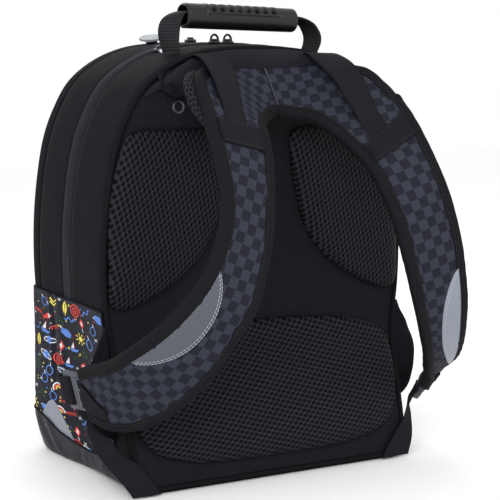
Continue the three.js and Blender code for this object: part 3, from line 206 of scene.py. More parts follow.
def mesh_object(name, verts, faces, mats, uvs=None, smooth=True):
    mesh = bpy.data.meshes.new(name)
    mesh.from_pydata((np.asarray(verts, float) * MM).tolist(), [], faces)
    mesh.validate()
    for m in mats if isinstance(mats, list) else [mats]:
        mesh.materials.append(m)
    if uvs is not None:
        idx = np.empty(len(mesh.loops), int)
        mesh.loops.foreach_get("vertex_index", idx)
        mesh.uv_layers.new(name="mm").data.foreach_set("uv", np.asarray(uvs, float)[idx].ravel())
    mesh.polygons.foreach_set("use_smooth", [smooth] * len(mesh.polygons))
    mesh.update()
    obj = bpy.data.objects.new(name, mesh)
    bpy.context.scene.collection.objects.link(obj)
    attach(obj, "root")
    return obj


def dress(obj, node=None):
    """Hides the frame's part named by node, which the piece takes the place of."""
    if node:
        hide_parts(node)


def grid_faces(rows, cols, wrap_c=False, wrap_r=False, start=0, flip=False):
    out = []
    for r in range(rows if wrap_r else rows - 1):
        for c in range(cols if wrap_c else cols - 1):
            a, b, k = start + r * cols, start + (r + 1) % rows * cols, (c + 1) % cols
            f = [a + c, a + k, b + k, b + c]
            out.append(f[::-1] if flip else f)
    return out


def grid_object(name, grid, mat, uv=None, wrap_c=False, wrap_r=False, flip=False):
    grid = np.asarray(grid, float)
    faces = grid_faces(*grid.shape[:2], wrap_c, wrap_r, flip=flip)
    return mesh_object(name, grid.reshape(-1, 3), faces, mat, None if uv is None else uv.reshape(-1, 2))


def tube_object(name, bodies, mat, uv=None):
    """Closed bodies, each through rings of points; uv gives millimetres round and along."""
    verts, faces, uvs, count = [], [], [], 0
    for rings in bodies if isinstance(bodies, list) else [bodies]:
        rows, cols = rings.shape[:2]
        faces += grid_faces(rows, cols, wrap_c=True, start=count)
        verts += [rings.reshape(-1, 3), rings[:1].mean(axis=1), rings[-1:].mean(axis=1)]
        n = count + rows * cols
        for end, base in ((0, count), (1, n - cols)):
            for c in range(cols):
                a, b = base + c, base + (c + 1) % cols
                faces.append([n + end, a, b] if end else [n + end, b, a])
        count = n + 2
        if uv is not None:
            uvs += [uv.reshape(-1, 2), uv[:1].mean(axis=1), uv[-1:].mean(axis=1)]
    return mesh_object(name, np.concatenate(verts), faces, mat, np.concatenate(uvs) if uvs else None)


def stitches(name, lines, mat, pitch=4.2, length=2.9, width=0.75):
    """Rows of sewn stitches: each line is points with outward normals."""
    verts, faces = [], []
    for points, normals in lines:
        points, normals = resample(points, pitch, np.broadcast_to(normals, np.shape(points)))
        along = unit(points[1:] - points[:-1])
        up = unit((normals[1:] + normals[:-1]) / 2)
        side = unit(np.cross(along, up))
        for m, a, u, s in zip((points[1:] + points[:-1]) / 2, along, up, side):
            k = len(verts)
            for t, w, h in ((-0.5, 0.25, -0.1), (-0.28, 0.5, 0.85), (0.28, 0.5, 0.85), (0.5, 0.25, -0.1)):
                c = m + a * length * t + u * 0.35 * h
                verts += [c - s * width * w, c + s * width * w]
            faces += [[q, q + 1, q + 3, q + 2] for q in (k, k + 2, k + 4)]
    dress(mesh_object(name, verts, faces, mat))


def round_tube(path, radius, sides=8, closed=False, normal=None):
    """Rings of a cord round a path."""
    path = np.asarray(path, float)
    if closed:
        tangent = unit(np.roll(path, -1, axis=0) - np.roll(path, 1, axis=0))
    else:
        tangent = unit(np.gradient(path, axis=0))
    if normal is None:
        normal = np.where(np.abs(tangent[:, 2:]) > 0.9, [[1.0, 0.0, 0.0]], [[0.0, 0.0, 1.0]])
    a = unit(np.cross(tangent, normal))
    b = unit(np.cross(a, tangent))
    ang = (np.arange(sides) / sides * FULL)[None, :, None]
    return path[:, None] + radius * np.cos(ang) * a[:, None] + radius * np.sin(ang) * b[:, None]


def srgb(*rgb):
    return tuple(v / 3294.6 if v <= 10.31475 else ((v / 255 + 0.055) / 1.055) ** 2.4 for v in rgb) + (1.0,)


class Nodes:
    """Small helper for building a node material; lengths are in millimetres."""

    def __init__(self, name):
        self.mat = bpy.data.materials.new(name)
        self.mat.use_nodes = True
        self.tree = self.mat.node_tree
        self.kept = {}

    def put(self, node, inputs):
        for key, value in inputs.items():
            if hasattr(value, "links"):
                self.tree.links.new(value, node.inputs[key])
            else:
                node.inputs[key].default_value = value

    def add(self, kind, inputs, **props):
        node = self.tree.nodes.new("ShaderNode" + kind)
        for k, v in props.items():
            setattr(node, k, v)
        self.put(node, inputs)
        return node

    def math(self, op, *values):
        return self.add("Math", dict(enumerate(values)), operation=op).outputs[0]

    def total(self, *terms):
        """Sum of (value, weight) pairs."""
        out = 0.0
        for value, weight in terms:
            out = self.math("MULTIPLY_ADD", value, weight, out)
        return out

    def mix(self, fac, a, b):
        a, b = (srgb(*c) if isinstance(c, tuple) and len(c) == 3 else c for c in (a, b))
        return self.add("Mix", {0: fac, 6: a, 7: b}, data_type="RGBA").outputs[2]

    def uv(self):
        """Lengths across and along the cloth."""
        if "uv" not in self.kept:
            layer = self.add("UVMap", {}, uv_map="mm")
            self.kept["uv"] = self.add("SeparateXYZ", {0: layer.outputs[0]}).outputs[:2]
        return self.kept["uv"]

    def noise(self, scale, detail=2.0, rough=0.5):
        if "place" not in self.kept:
            place = self.add("TexCoord", {}).outputs["Object"]
            self.kept["place"] = self.add("VectorMath", {0: place, 3: 1000}, operation="SCALE").outputs[0]
        return self.add("TexNoise", {"Scale": scale, "Detail": detail, "Roughness": rough,
                                     "Vector": self.kept["place"]}).outputs["Fac"]

    def wave(self, value, pitch):
        """0 to 1 wave with the given pitch."""
        turn = self.math("MULTIPLY_ADD", value, FULL / pitch, 0.0)
        return self.math("MULTIPLY_ADD", self.math("SINE", turn), 0.5, 0.5)

    def choose(self, mask, a, b):
        """a where the mask is 1, b where it is 0."""
        return self.math("ADD", self.math("MULTIPLY", a, mask),
                         self.math("MULTIPLY", b, self.math("SUBTRACT", 1.0, mask)))

    def weave(self, pitch):
        """Over-and-under cloth of two thread directions."""
        u, v = self.uv()
        double = self.math("ADD", self.wave(u, pitch * 2), self.wave(v, pitch * 2))
        return self.choose(self.math("GREATER_THAN", double, 1.0), self.wave(u, pitch), self.wave(v, pitch))

    def bump(self, height, distance, strength=1.0, normal=None):
        inputs = {"Strength": strength, "Distance": distance * MM, "Height": height}
        if normal is not None:
            inputs["Normal"] = normal
        return self.add("Bump", inputs).outputs[0]

    def finish(self, color, rough, normal=None, spec=0.5, metal=0.0):
        inputs = {"Base Color": color, "Roughness": rough, "Metallic": metal, "Specular IOR Level": spec}
        if normal is not None:
            inputs["Normal"] = normal
        self.put(self.tree.nodes["Principled BSDF"], inputs)
        return self.mat


def cloth(name, low, high, pitch=1.1, rough=(0.62, 0.8), depth=0.12, patch=30.0, crease=0.0, spec=0.35):
    """Plain woven cloth, with slow changes of shade and fine weave."""
    n = Nodes(name)
    slow, fine, weave = n.noise(1.0 / patch, 3.0), n.noise(0.9), n.weave(pitch)
    shade = n.total((slow, 0.55), (fine, 0.45))
    color = n.mix(n.total((shade, 0.65), (weave, 0.35)), low, high)
    normal = n.bump(n.noise(1.0 / 14.0, 3.0, 0.55), crease, 0.7) if crease else None
    roughness = n.math("MULTIPLY_ADD", fine, rough[1] - rough[0], rough[0])
    return n.finish(color, roughness, n.bump(weave, depth, 0.8, normal), spec)


def webbing(name, low, high, rib=1.7, spec=0.06, lengthwise=False):
    """Woven tape with fine ribs across it or along it."""
    n = Nodes(name)
    u, v = n.uv()[::-1] if lengthwise else n.uv()
    ribs = n.wave(n.math("MULTIPLY_ADD", n.wave(u, 3.4), 0.5, v), rib)
    fine = n.noise(1.1)
    height = n.total((ribs, 0.75), (n.wave(u, 1.3), 0.25))
    color = n.mix(n.total((fine, 0.35), (height, 0.65)), low, high)
    return n.finish(color, n.math("MULTIPLY_ADD", fine, 0.2, 0.62), n.bump(height, 0.3, 0.9), spec)


def plastic(name, color, rough=0.35, grain=0.25, spec=0.5):
    n = Nodes(name)
    slow = n.noise(1 / 9.0)
    color = srgb(*color)
    shade = n.mix(n.math("MULTIPLY", slow, 0.5), color, tuple(c * 0.75 for c in color[:3]) + (1.0,))
    roughness = n.math("MULTIPLY_ADD", slow, 0.16, rough)
    return n.finish(shade, roughness, n.bump(n.noise(1.6, 3.0), 0.03, grain), spec)


def metal(name, color, rough=0.22):
    n = Nodes(name)
    slow = n.noise(1 / 3.0, 3.0)
    color = srgb(*color)
    shade = n.mix(slow, color, tuple(c * 0.7 for c in color[:3]) + (1.0,))
    roughness = n.math("MULTIPLY_ADD", slow, 0.2, rough)
    return n.finish(shade, roughness, n.bump(n.noise(0.8), 0.02, 0.4), metal=1.0)


def spacer_mesh(name, pitch_u, pitch_v, half_u, half_v, low, high, hole, depth=0.9):
    """Knitted spacer mesh: rows of long holes, each row shifted by half a hole."""
    n = Nodes(name)
    u, v = n.uv()
    row = n.math("DIVIDE", v, pitch_v)
    odd = n.math("FRACT", n.math("MULTIPLY", n.math("FLOOR", row), 0.5))
    col = n.math("ADD", n.math("DIVIDE", u, pitch_u), odd)
    du, dv = (n.math("MULTIPLY", n.math("SUBTRACT", n.math("FRACT", a), 0.5), k)
              for a, k in ((col, pitch_u / half_u), (row, pitch_v / half_v)))
    dist = n.math("SQRT", n.math("ADD", n.math("MULTIPLY", du, du), n.math("MULTIPLY", dv, dv)))
    land = n.add("MapRange", {0: dist, 1: 0.55, 2: 1.3}, interpolation_type="SMOOTHSTEP").outputs[0]
    knit = n.wave(n.math("ADD", u, v), 1.1)
    yarn = n.mix(n.total((n.noise(0.8), 0.6), (knit, 0.4)), low, high)
    normal = n.bump(n.total((land, 1.0), (knit, 0.1)), depth, 1.0)
    # Holes show the black inner layer; their colour, darker than the yarn, is painted shade in the pits
    return n.finish(n.mix(land, srgb(*hole), yarn), n.math("MULTIPLY_ADD", land, -0.1, 0.7), normal, 0.07)


def panel_cloth(name, low, high, seam):
    """Plain cloth below the seam, ribbed mesh above it."""
    n = Nodes(name)
    u, v = n.uv()
    fine = n.noise(0.9)
    ribs = n.total((n.wave(u, 3.3), 0.7), (n.wave(v, 1.5), 0.3))
    height = n.choose(n.math("GREATER_THAN", v, seam), ribs, n.weave(1.3))
    shade = n.total((n.noise(1 / 30.0, 3.0), 0.5), (fine, 0.5))
    color = n.mix(n.total((shade, 0.5), (height, 0.5)), low, high)
    normal = n.bump(height, 0.25, 0.9, n.bump(n.noise(1.0 / 14.0, 3.0, 0.55), 1.2, 0.7))
    return n.finish(color, n.math("MULTIPLY_ADD", fine, 0.16, 0.68), normal, 0.06)


def checker(name, size, dark, light):
    """Checked cloth with a fine weave and slight wear."""
    n = Nodes(name)
    fine, weave = n.noise(1.0), n.weave(1.1)
    wobble = n.math("MULTIPLY_ADD", n.noise(0.25), 0.6, -0.3)
    a, b = (n.math("FLOOR", n.math("DIVIDE", n.math("ADD", v, wobble), size)) for v in n.uv())
    even = n.math("GREATER_THAN", n.math("FRACT", n.math("MULTIPLY", n.math("ADD", a, b), 0.5)), 0.25)
    tone = n.total((weave, 0.3), (fine, 0.4), (n.noise(1 / 22.0, 3.0), 0.3))
    bright = n.add("HueSaturation", {"Value": n.math("MULTIPLY_ADD", tone, 0.7, 0.65),
                                     "Color": n.mix(even, dark, light)}).outputs[0]
    normal = n.bump(weave, 0.14, 0.8, n.bump(n.noise(1 / 16.0), 1.0, 0.35))
    return n.finish(bright, n.math("MULTIPLY_ADD", fine, 0.2, 0.66), normal, 0.07)


NYLON = cloth("nylon", (12, 12, 16), (28, 28, 33), crease=1.0, rough=(0.7, 0.88), spec=0.05)
ROLL = cloth("roll_cloth", (16, 16, 21), (39, 39, 46), pitch=1.6, crease=0.8, spec=0.08)
WELT = cloth("welt_cloth", (22, 23, 28), (39, 40, 47), pitch=1.2, crease=0.6, spec=0.08)
TAPE = webbing("band_tape", (8, 8, 10), (36, 36, 41), rib=2.1)
BINDING = webbing("binding_tape", (12, 12, 15), (32, 32, 36), rib=1.5, spec=0.05)
PIPING = webbing("piping_tape", (10, 10, 12), (24, 24, 28), rib=1.5, spec=0.05)
# Near-black cloth used only as painted shadow: in the grip's slots and open ends, and along the end tab's
# slit
PAINTED_SHADOW = cloth("shadow_tape", (5, 5, 6), (14, 14, 16), spec=0.04)
WEB = webbing("webbing_weave", (5, 5, 7), (38, 38, 43), rib=2.3, lengthwise=True)
HANDLE_WEB = webbing("handle_webbing_weave", (14, 14, 16), (46, 46, 50), rib=3.0, spec=0.1)
# Last colour of each spacer mesh: its holes, the black inner layer darkened by painted shade
PAD_MESH = spacer_mesh("pad_mesh", 5.4, 4.6, 1.3, 2.9, (19, 19, 24), (46, 46, 52), (5, 5, 6))
GILL_MESH = spacer_mesh("gill_mesh", 3.6, 4.2, 1.0, 1.5, (20, 20, 24), (46, 46, 51), (4, 4, 5))
FINE_MESH = spacer_mesh("fine_mesh", 2.7, 2.4, 0.75, 0.8, (20, 20, 23), (40, 40, 44), (8, 8, 10), 0.3)
NYLON_PANEL = panel_cloth("nylon_panel", (12, 12, 16), (34, 34, 39), 343.0)
CHECK = checker("check_cloth", 9.6, (32, 32, 41), (48, 51, 61))
BOOT = cloth("boot_cloth", (27, 28, 33), (43, 44, 51), 0.9, (0.42, 0.6), 0.05, crease=0.8, spec=0.16)
PRINT = cloth("print_ground", (12, 13, 23), (24, 25, 38), 1.0, (0.5, 0.66), crease=0.4, spec=0.1)
REFLECT = cloth("reflective_film", (112, 117, 128), (132, 138, 150), 0.8, (0.34, 0.5), 0.05, 50.0, spec=0.4)
# Darker copy of the reflective film: painted shade for the left strap's reflector, which is turned away from
# the light
REFLECT_SHADED = cloth("reflective_film_shaded", (66, 70, 78), (82, 86, 96), 0.8, (0.36, 0.5), 0.05, 50.0,
                    spec=0.3)
HEM_THREAD = cloth("hem_thread", (88, 96, 120), (126, 134, 156), 0.6, spec=0.15)
THREAD = cloth("thread", (20, 20, 23), (42, 42, 46), 0.6, (0.5, 0.6), spec=0.15)
THREAD_ZIG = cloth("thread_zigzag", (60, 60, 66), (88, 88, 96), 0.6, spec=0.15)
THREAD_GREY = cloth("thread_grey", (150, 153, 160), (190, 193, 200), 0.6, (0.5, 0.6))
MOULDED = plastic("moulded_grey", (8, 9, 12), 0.34, spec=0.4)
OVAL = plastic("pull_grey", (140, 145, 151), 0.3)
BUCKLE = plastic("buckle_grey", (70, 72, 82), 0.4, spec=0.35)
GLOSSY = plastic("glossy_black", (16, 16, 18), 0.14, grain=0.1, spec=0.6)
TOOTH = plastic("zip_teeth", (28, 28, 31), 0.4, spec=0.25)
SILVER = metal("bright_metal", (196, 199, 204))
GUN = metal("dark_metal", (92, 94, 100), 0.28)
DOODLE = {name: cloth("print_" + name, tuple(int(c * 0.9) for c in rgb), rgb, 1.0, (0.5, 0.66), spec=0.1)
          for name, rgb in (("blue", (88, 128, 205)), ("yellow", (232, 214, 96)), ("red", (208, 66, 58)),
                            ("white", (214, 218, 222)), ("green", (44, 88, 48)))}


def rim_curve():
    """Points of the body's outline all round, and their outward normals."""
    inner = BODY_HEIGHT - BASE_LIFT
    right = [(w * BODY_HALF_WIDTH, 0.0, BASE_LIFT + h * inner) for h, w in BASE_CORNER[::-1] + OUTLINE]
    pts = right + [(-x, 0.0, z) for x, _, z in right[-2::-1]] + [(0.0, 0.0, BASE_LIFT)]
    at = catmull(pts, closed=True)
    ts = []
    for i, p in enumerate(pts):
        parts = max(2, int(round(math.dist(p, pts[(i + 1) % len(pts)]) / 3.2)))
        ts += [(i + k / parts) / len(pts) for k in range(parts)]
    ts = np.array(ts)
    p = at(ts)
    d = unit(at((ts + 1e-4) % 1) - at((ts - 1e-4) % 1))
    return p[:, 0], np.maximum(p[:, 2], BASE_LIFT), d[:, 2], -d[:, 0]


RX, RZ, RNX, RNZ = rim_curve()
RIM_LENGTH = arc_lengths(np.stack([RX, RZ], axis=1))
ZERO = 0 * RX
MAIN_BACK, MAIN_FRONT = -MAIN_ZIP_PLACE - ZIP_WIDTH / 2, -MAIN_ZIP_PLACE + ZIP_WIDTH / 2
WELT_FRONT = MAIN_FRONT + GAP + WELT_WIDTH
SECOND_BACK, SECOND_FRONT = SECOND_ZIP_PLACE - ZIP_WIDTH / 2, SECOND_ZIP_PLACE + ZIP_WIDTH / 2
SHOULDER_Y = FRONT_FACE - FRONT_ROUND
ROUND_LENGTH = FRONT_ROUND * math.pi / 2
EDGE_END = SHOULDER_Y + ROUND_LENGTH


def rim_part(mask, by):
    """Outline points within the mask, in rising order."""
    order = np.where(mask)[0]
    order = order[np.argsort(by[order])]
    return [v[order] for v in (RX, RZ, RNX, RNZ)]


def run_of(keep):
    """Numbers of the kept outline points in one unbroken run."""
    order = np.roll(np.arange(len(keep)), -int(np.argmax(~keep)))
    return order[keep[order]]


SX, SZ, SNX, SNZ = rim_part((RX > 0) & (RNX > 0.5) & (RZ < BODY_HEIGHT * 0.9), RZ)
TX, TZ, TNX, TNZ = rim_part((RNZ > 0.2) & (RZ > 300), RX)


def back_y(z):
    return -BACK_FACE - LUMBAR_REACH * (1 - smoothstep(z, LUMBAR_FLAT, LUMBAR_TOP))


def rim_points(y, inset, x=RX, z=RZ, nx=RNX, nz=RNZ):
    y = np.broadcast_to(np.asarray(y, float), np.shape(x)).copy()
    share = np.clip((y + BACK_FACE) / (BACK_FACE + SECOND_ZIP_PLACE), 0, 1)
    zz = BASE_LIFT + (z - BASE_LIFT) * (1 + FRONT_RISE / BODY_HEIGHT * share)
    return np.stack([x - nx * inset, y, zz - nz * inset], axis=-1)


def band(name, node, rows, mat, fold=3.0):
    """Band of cloth round the body: rows of (depth, inset), turned in at both sewn edges."""
    first, last = rows[0], rows[-1]
    rows = [(first[0], first[1] + fold)] + rows + [(last[0], last[1] + fold)]
    grid = np.stack([rim_points(y, i) for y, i in rows])
    v = np.concatenate([[0], np.cumsum(np.linalg.norm(np.diff(grid, axis=0), axis=2).mean(axis=1))])
    obj = grid_object(name, grid, mat, pair(RIM_LENGTH[None, :], v[:, None]), wrap_c=True)
    dress(obj, node)


def body_bands():
    seam = back_y(RZ) + SEAM_DEPTH
    calm = smoothstep(RZ, PRINT_TOP + 20, PRINT_TOP + 60)
    fade = smoothstep(RZ, PRINT_TOP + 30, PRINT_TOP + 70)
    for node, mat, wide, count, back, front, rest, rise, reach, seed, size in (
            ("main_gusset", NYLON, 95, 15, seam, MAIN_BACK - GAP, 0.6, 1.4, 70, 3, 0.5),
            ("zip_welt", WELT, 27, 9, MAIN_FRONT + GAP, WELT_FRONT - GAP, 0.4, 2.2, 20, 5, 0.25),
            ("second_gusset", NYLON, 60, 11, WELT_FRONT, SECOND_BACK - GAP, 0.4, 0.9, 50, 8, 0.4)):
        rows = []
        for t in np.linspace(0, 1, count):
            if mat is WELT:
                crown = math.sin(math.pi * t)
                wave = ripple(RIM_LENGTH, t * reach, seed, ((40, 1), (15, 0.6)))
            else:
                crown = 4 * t * (1 - t)
                wave = ripple(RIM_LENGTH, t * reach, seed) * crown
            inset = rest - rise * crown ** 0.7 + ZERO
            inset = np.where(inset < 0, inset * fade, inset)
            rows.append((back * (1 - t) + front * t, inset + size * wave * calm))
        band("cloth_" + node, node, rows, mat)


def zip_band(node, place):
    rows = [(place + dy, 1.2 + ZERO) for dy in (-4.5, -2.2, 0, 2.2, 4.5)]
    band("tape_" + node, node, rows, TAPE, fold=1.0)
    order = run_of(RZ > PRINT_TOP - 4)
    pts, norm = resample(rim_points(place, 1.0)[order], 1.0, np.stack([RNX, ZERO, RNZ], axis=-1)[order])
    verts, faces = [], []
    corners = ((-1, -1), (1, -1), (1, 1), (-1, 1))
    for i, (p, u, a) in enumerate(zip(pts, unit(norm), unit(np.gradient(pts, axis=0)))):
        c = p + np.array([0, 0.9 if i % 2 else -0.9, 0]) - u * 0.2
        k = len(verts)
        for da, dy, du in ((0.6, 0.7, 0.0), (0.35, 0.4, 0.9)):
            verts += [c + a * da * j + np.array([0, dy * q, 0]) + u * du for j, q in corners]
        faces += [[k + j for j in f] for f in ((4, 5, 6, 7), (0, 1, 5, 4), (1, 2, 6, 5), (2, 3, 7, 6),
                                               (3, 0, 4, 7))]
    dress(mesh_object(f"tape_{node}_teeth", verts, faces, TOOTH, smooth=False))


def frames_of(rows, side, at, sewn=()):
    """Middle, width direction, outward normal and half width of a ribbon at places in rows."""
    rows = np.asarray(rows, float)
    out, inn = (np.stack([side * rows[:, k] * BODY_HALF_WIDTH, -BACK_FACE - rows[:, k + 1] * STRAP_REACH,
                          rows[:, k + 2] * BODY_HEIGHT], axis=1) for k in (0, 3))
    if len(sewn):
        out = np.concatenate([out, [s[0] for s in sewn]])
        inn = np.concatenate([inn, [s[1] for s in sewn]])
    last = len(out) - 1
    outer, inner = catmull(out), catmull(inn)
    t = np.clip(np.asarray(at, float) / last, 0, 1)
    a, b = outer(t), inner(t)

    def middle(s):
        s = np.clip(s, 0, 1)
        return (outer(s) + inner(s)) / 2
    along = unit(middle(t + 0.2 / last) - middle(t - 0.2 / last))
    across = unit(b - a)
    return dict(middle=(a + b) / 2, across=across, along=along, normal=unit(np.cross(along, across)) * -side,
                half=np.linalg.norm(b - a, axis=1) / 2)


def some_of(f, keep):
    return {key: v[keep] for key, v in f.items()}


def flat_pattern(outer, inner, turn):
    """Edges of a ribbon laid flat without stretching, turned by an angle in degrees."""
    def third(p, q, dp, dq):
        d = np.linalg.norm(q - p)
        e = (q - p) / d
        x = (dp * dp - dq * dq + d * d) / (2 * d)
        return p + e * x + np.array([-e[1], e[0]]) * math.sqrt(max(dp * dp - x * x, 0))

    def far(p, q):
        return np.linalg.norm(p - q)
    a, b = np.zeros((len(outer), 2)), np.zeros((len(outer), 2))
    b[0] = (far(inner[0], outer[0]), 0)
    for i in range(1, len(outer)):
        a[i] = third(a[i - 1], b[i - 1], far(outer[i], outer[i - 1]), far(outer[i], inner[i - 1]))
        b[i] = third(a[i], b[i - 1], far(inner[i], outer[i]), far(inner[i], inner[i - 1]))
        w, e = b[i] - a[i], b[i - 1] - a[i]
        if w[0] * e[1] - w[1] * e[0] > 0:
            e = unit(e)
            b[i] = a[i] + 2 * e * np.dot(w, e) - w
    return turned(a, math.radians(turn)), turned(b, math.radians(turn))


def on_frame(f, across, out):
    """Points beside and above a ribbon's middle: a row for each frame, or one point for each."""
    if np.ndim(across) < 2 and np.ndim(out) < 2:
        return on_frame(f, np.reshape(across, (-1, 1)), np.reshape(out, (-1, 1)))[:, 0]
    return (f["middle"][:, None] + np.asarray(across, float)[..., None] * f["across"][:, None]
            + np.asarray(out, float)[..., None] * f["normal"][:, None])


def build_strap(name, h):
    """Padded core, pinched under the bindings and full between them, and the two folded bindings."""
    side, rows = h["side"], h["rows"]
    at = np.linspace(0.008, len(rows) - 1, 190)
    f = frames_of(rows, side, at)
    f["normal"][0, 0] = 0
    f["normal"][0] = unit(f["normal"][0])
    half, length = f["half"][:, None], arc_lengths(f["middle"])[:, None]
    w = half - BINDING_THICKNESS - BINDING_GAP
    cols = 25
    s = np.linspace(-1, 1, cols)[None, :]
    across = w * s
    full = np.clip((1 - np.abs(s)) / np.maximum((BINDING_WIDTH - 2.0) / w, 1e-3), 0, 1)
    plump = 3.4 + 1.5 * smoothstep(full, 0.55, 1.35) + 0.9 * np.sqrt(np.clip(1 - (s / 0.85) ** 2, 0, 1))
    wave = 0.45 * ripple(across, length, 11 + side, ((45, 1.0), (22, 0.6)))
    rings = shell(on_frame(f, across, plump + wave), on_frame(f, across, wave * 0.5 - plump * 0.92))
    flat_out, flat_in = flat_pattern(on_frame(f, -f["half"], 0), on_frame(f, f["half"], 0), h["turn"])
    share = (across / half + 1)[..., None] / 2
    uv = flat_out[:, None] * (1 - share) + flat_in[:, None] * share
    yoke = (at < sum(h["band"]) / 2)[:, None, None]
    uv = np.where(yoke, turned(uv, math.radians(h["yoke_turn"])), uv)
    uv = shell(uv, uv)
    obj = tube_object("padded_strap_" + name, rings[:, ::-side], [CHECK, FINE_MESH], uv[:, ::-side])
    under = np.zeros(len(obj.data.polygons), int)
    low = np.tile((np.arange(2 * cols) >= cols) == (side < 0), len(at) - 1)
    under[:len(low)] = low
    obj.data.polygons.foreach_set("material_index", under)
    dress(obj, "shoulder_strap_" + name)

    lines = []
    prof = [(-BINDING_WIDTH, 5.1), (-BINDING_WIDTH + 0.4, 5.5), (-BINDING_WIDTH / 2, 5.7), (-3.5, 5.6),
            (-1.4, 5.0), (-0.3, 3.4), (0.0, 1.2)]
    prof = np.array(prof + [(a, -b) for a, b in prof[::-1]])
    place, height = prof.T[:, None]
    girth = arc_lengths(prof)
    inner = np.ones(len(prof))
    inner[[0, -1]] = 0
    for edge, part in ((-1, "outer"), (1, "inner")):
        first = 0 if edge > 0 else int(np.argmax(at > h["bound"]))
        g = some_of(f, slice(first, None))
        half, length = g["half"][:, None], arc_lengths(g["middle"])[:, None]
        shift = 0
        if edge < 0 and h["step"]:
            step = h["step"]
            shift = 3.0 * smoothstep(at, 2.8, step - 0.2) * (1 - smoothstep(at, step - 0.1, step + 0.12))
            shift = (shift - 1.2 * np.exp(-((at - step - 0.25) / 0.2) ** 2))[first:, None]
        acr = edge * (half + place - shift)
        bump = 0.35 * ripple(length, place, 20 + edge + side, ((14, 1.0), (8, 0.6)))
        lift = height + bump * np.sign(height)
        rings = shell(on_frame(g, acr, lift),
                      on_frame(g, acr - edge * 0.9 * inner, lift * (0.78 + 0.02 * inner)))
        uv = pair(np.concatenate([girth, girth[::-1]])[None, :], length)
        flip = -1 if edge * side > 0 else 1
        obj = tube_object(f"binding_{part}_{name}", rings[:, ::flip], BINDING, uv[:, ::flip])
        dress(obj, f"strap_{part}_binding_{name}")
        for face in (1, -1):
            pts = on_frame(g, edge * (g["half"] - BINDING_WIDTH + 1.6), 5.65 * face)
            lines.append((pts, g["normal"] * face))
    stitches("strap_stitches_" + name, lines, THREAD, 4.6, 3.0)
    strap_trim(name, h)


def sheet_strip(name, node, f, left, right, lift, thick, mat, columns=8, dome=0.0):
    """Thin sheet laid on the strap, its top domed across by the given amount."""
    s = np.linspace(0, 1, columns)
    acr = left[:, None] + (right - left)[:, None] * s
    top = lift + thick + dome * np.sin(math.pi * s) + 0 * acr
    length = arc_lengths(f["middle"])
    uv = pair(acr, length[:, None])
    obj = tube_object(name, shell(on_frame(f, acr, top), on_frame(f, acr, top - thick)), mat, shell(uv, uv))
    dress(obj, node)


def strap_trim(name, h):
    """Cross band, reflector, load lifter, end tab and lower webbing of one strap."""
    side, rows = h["side"], h["rows"]
    last = len(rows) - 1
    inside = BINDING_WIDTH - 1.2
    fb = frames_of(rows, side, np.linspace(*h["band"], 14))
    e = fb["half"] - inside
    sheet_strip("band_" + name, "cross_band_" + name, fb, -e, e, 5.5, 1.3, TAPE, dome=0.3)
    lines = []
    for k in (1, 12):
        one = some_of(fb, slice(k, k + 1))
        pts = np.concatenate([on_frame(one, a, 7.0) for a in np.linspace(1 - e[k], e[k] - 1, 12)])
        lines.append((pts, one["normal"]))
    fp = frames_of(rows, side, np.linspace(*h["patch"], 60))
    e = fp["half"] - inside
    right = 0.5 - e + e * h["patch_width"] * np.sin(math.pi * np.linspace(0, 1, 60)) ** 0.8
    # The left strap's reflector takes the darker copy of the film, as painted shade
    sheet_strip("reflector_" + name, "strap_reflector_" + name, fp, -e, right, 5.2, 0.5,
                REFLECT_SHADED if side < 0 else REFLECT, 10, 0.35)
    grey = []
    for edge in (right - 1.0, right - 3.4):
        keep = edge > 0.5 - e
        one = some_of(fp, keep)
        grey.append((on_frame(one, edge[keep], 5.95), one["normal"]))
    stitches("reflector_stitches_" + name, grey, THREAD_GREY, 3.6, 2.6, 0.6)
    stitches("band_stitches_" + name, lines, THREAD, 3.6, 2.6)
    sewn = []
    for back, lift in ((0.7, 5.9), (-0.18, 5.2)):
        one = frames_of(rows, side, [h["band"][0] - back])
        sewn.append([on_frame(one, h["lifter_shift"] + k * 12, lift)[0] for k in (-1, 1)])
    fl = frames_of(h["lifter"], side, np.linspace(0, len(h["lifter"]) + 1, 70), sewn)
    sheet_strip("lifter_" + name, "load_lifter_" + name, fl, -fl["half"], fl["half"], -0.8,
                1.6, WEB)
    ft = frames_of(rows, side, np.linspace(last - 1.3, last, 24))
    e = ft["half"] - BINDING_WIDTH - GAP
    start = e * (0.45 - 1.35 * np.linspace(0, 1, 24))
    sheet_strip("end_tab_" + name, "strap_end_tab_" + name, ft, start, e * 0.9, 5.4, 1.5,
                WEB)
    # Dark cord along the tab's slanted edge: a painted shadow of the slit there
    slit = on_frame(ft, start - 0.4, 5.9)[2:-4]
    dress(tube_object("end_tab_slit_shadow_" + name, round_tube(slit, 0.9), PAINTED_SHADOW))
    fw = frames_of(h["lower"], side, np.linspace(0, len(h["lower"]) - 1, 60))
    sheet_strip("lower_web_" + name, "lower_webbing_" + name, fw, -fw["half"], fw["half"],
                -0.8, 1.6, WEB)


def pad_rim(outline, side, whole=False):
    pts = [(side * w * BODY_HALF_WIDTH, 0.0, h * BODY_HEIGHT) for w, h in outline]
    if whole:
        pts += [(-x, 0.0, z) for x, _, z in pts[-2:0:-1]]
    return catmull(pts, closed=True)(np.linspace(0, 1, 160, endpoint=False))


def spans_of(outline, inset, rows, a):
    """Rows of points from edge to edge of a closed outline, close together at its ends."""
    low, high = outline[:, 2].min() + inset, outline[:, 2].max() - inset
    zs = low + (high - low) * (1 - np.cos(np.linspace(0, math.pi, rows))) / 2
    ends = []
    for z in zs:
        xs = [p[0] + (q[0] - p[0]) * (z - p[2]) / (q[2] - p[2])
              for p, q in zip(outline, np.roll(outline, -1, axis=0))
              if (p[2] - z) * (q[2] - z) <= 0 and p[2] != q[2]]
        ends.append((min(xs), max(xs)))
    ends = np.array(ends)
    x = ends[:, :1] + (ends[:, 1:] - ends[:, :1]) * a[None, :]
    return x, np.broadcast_to(zs[:, None], x.shape), low, high


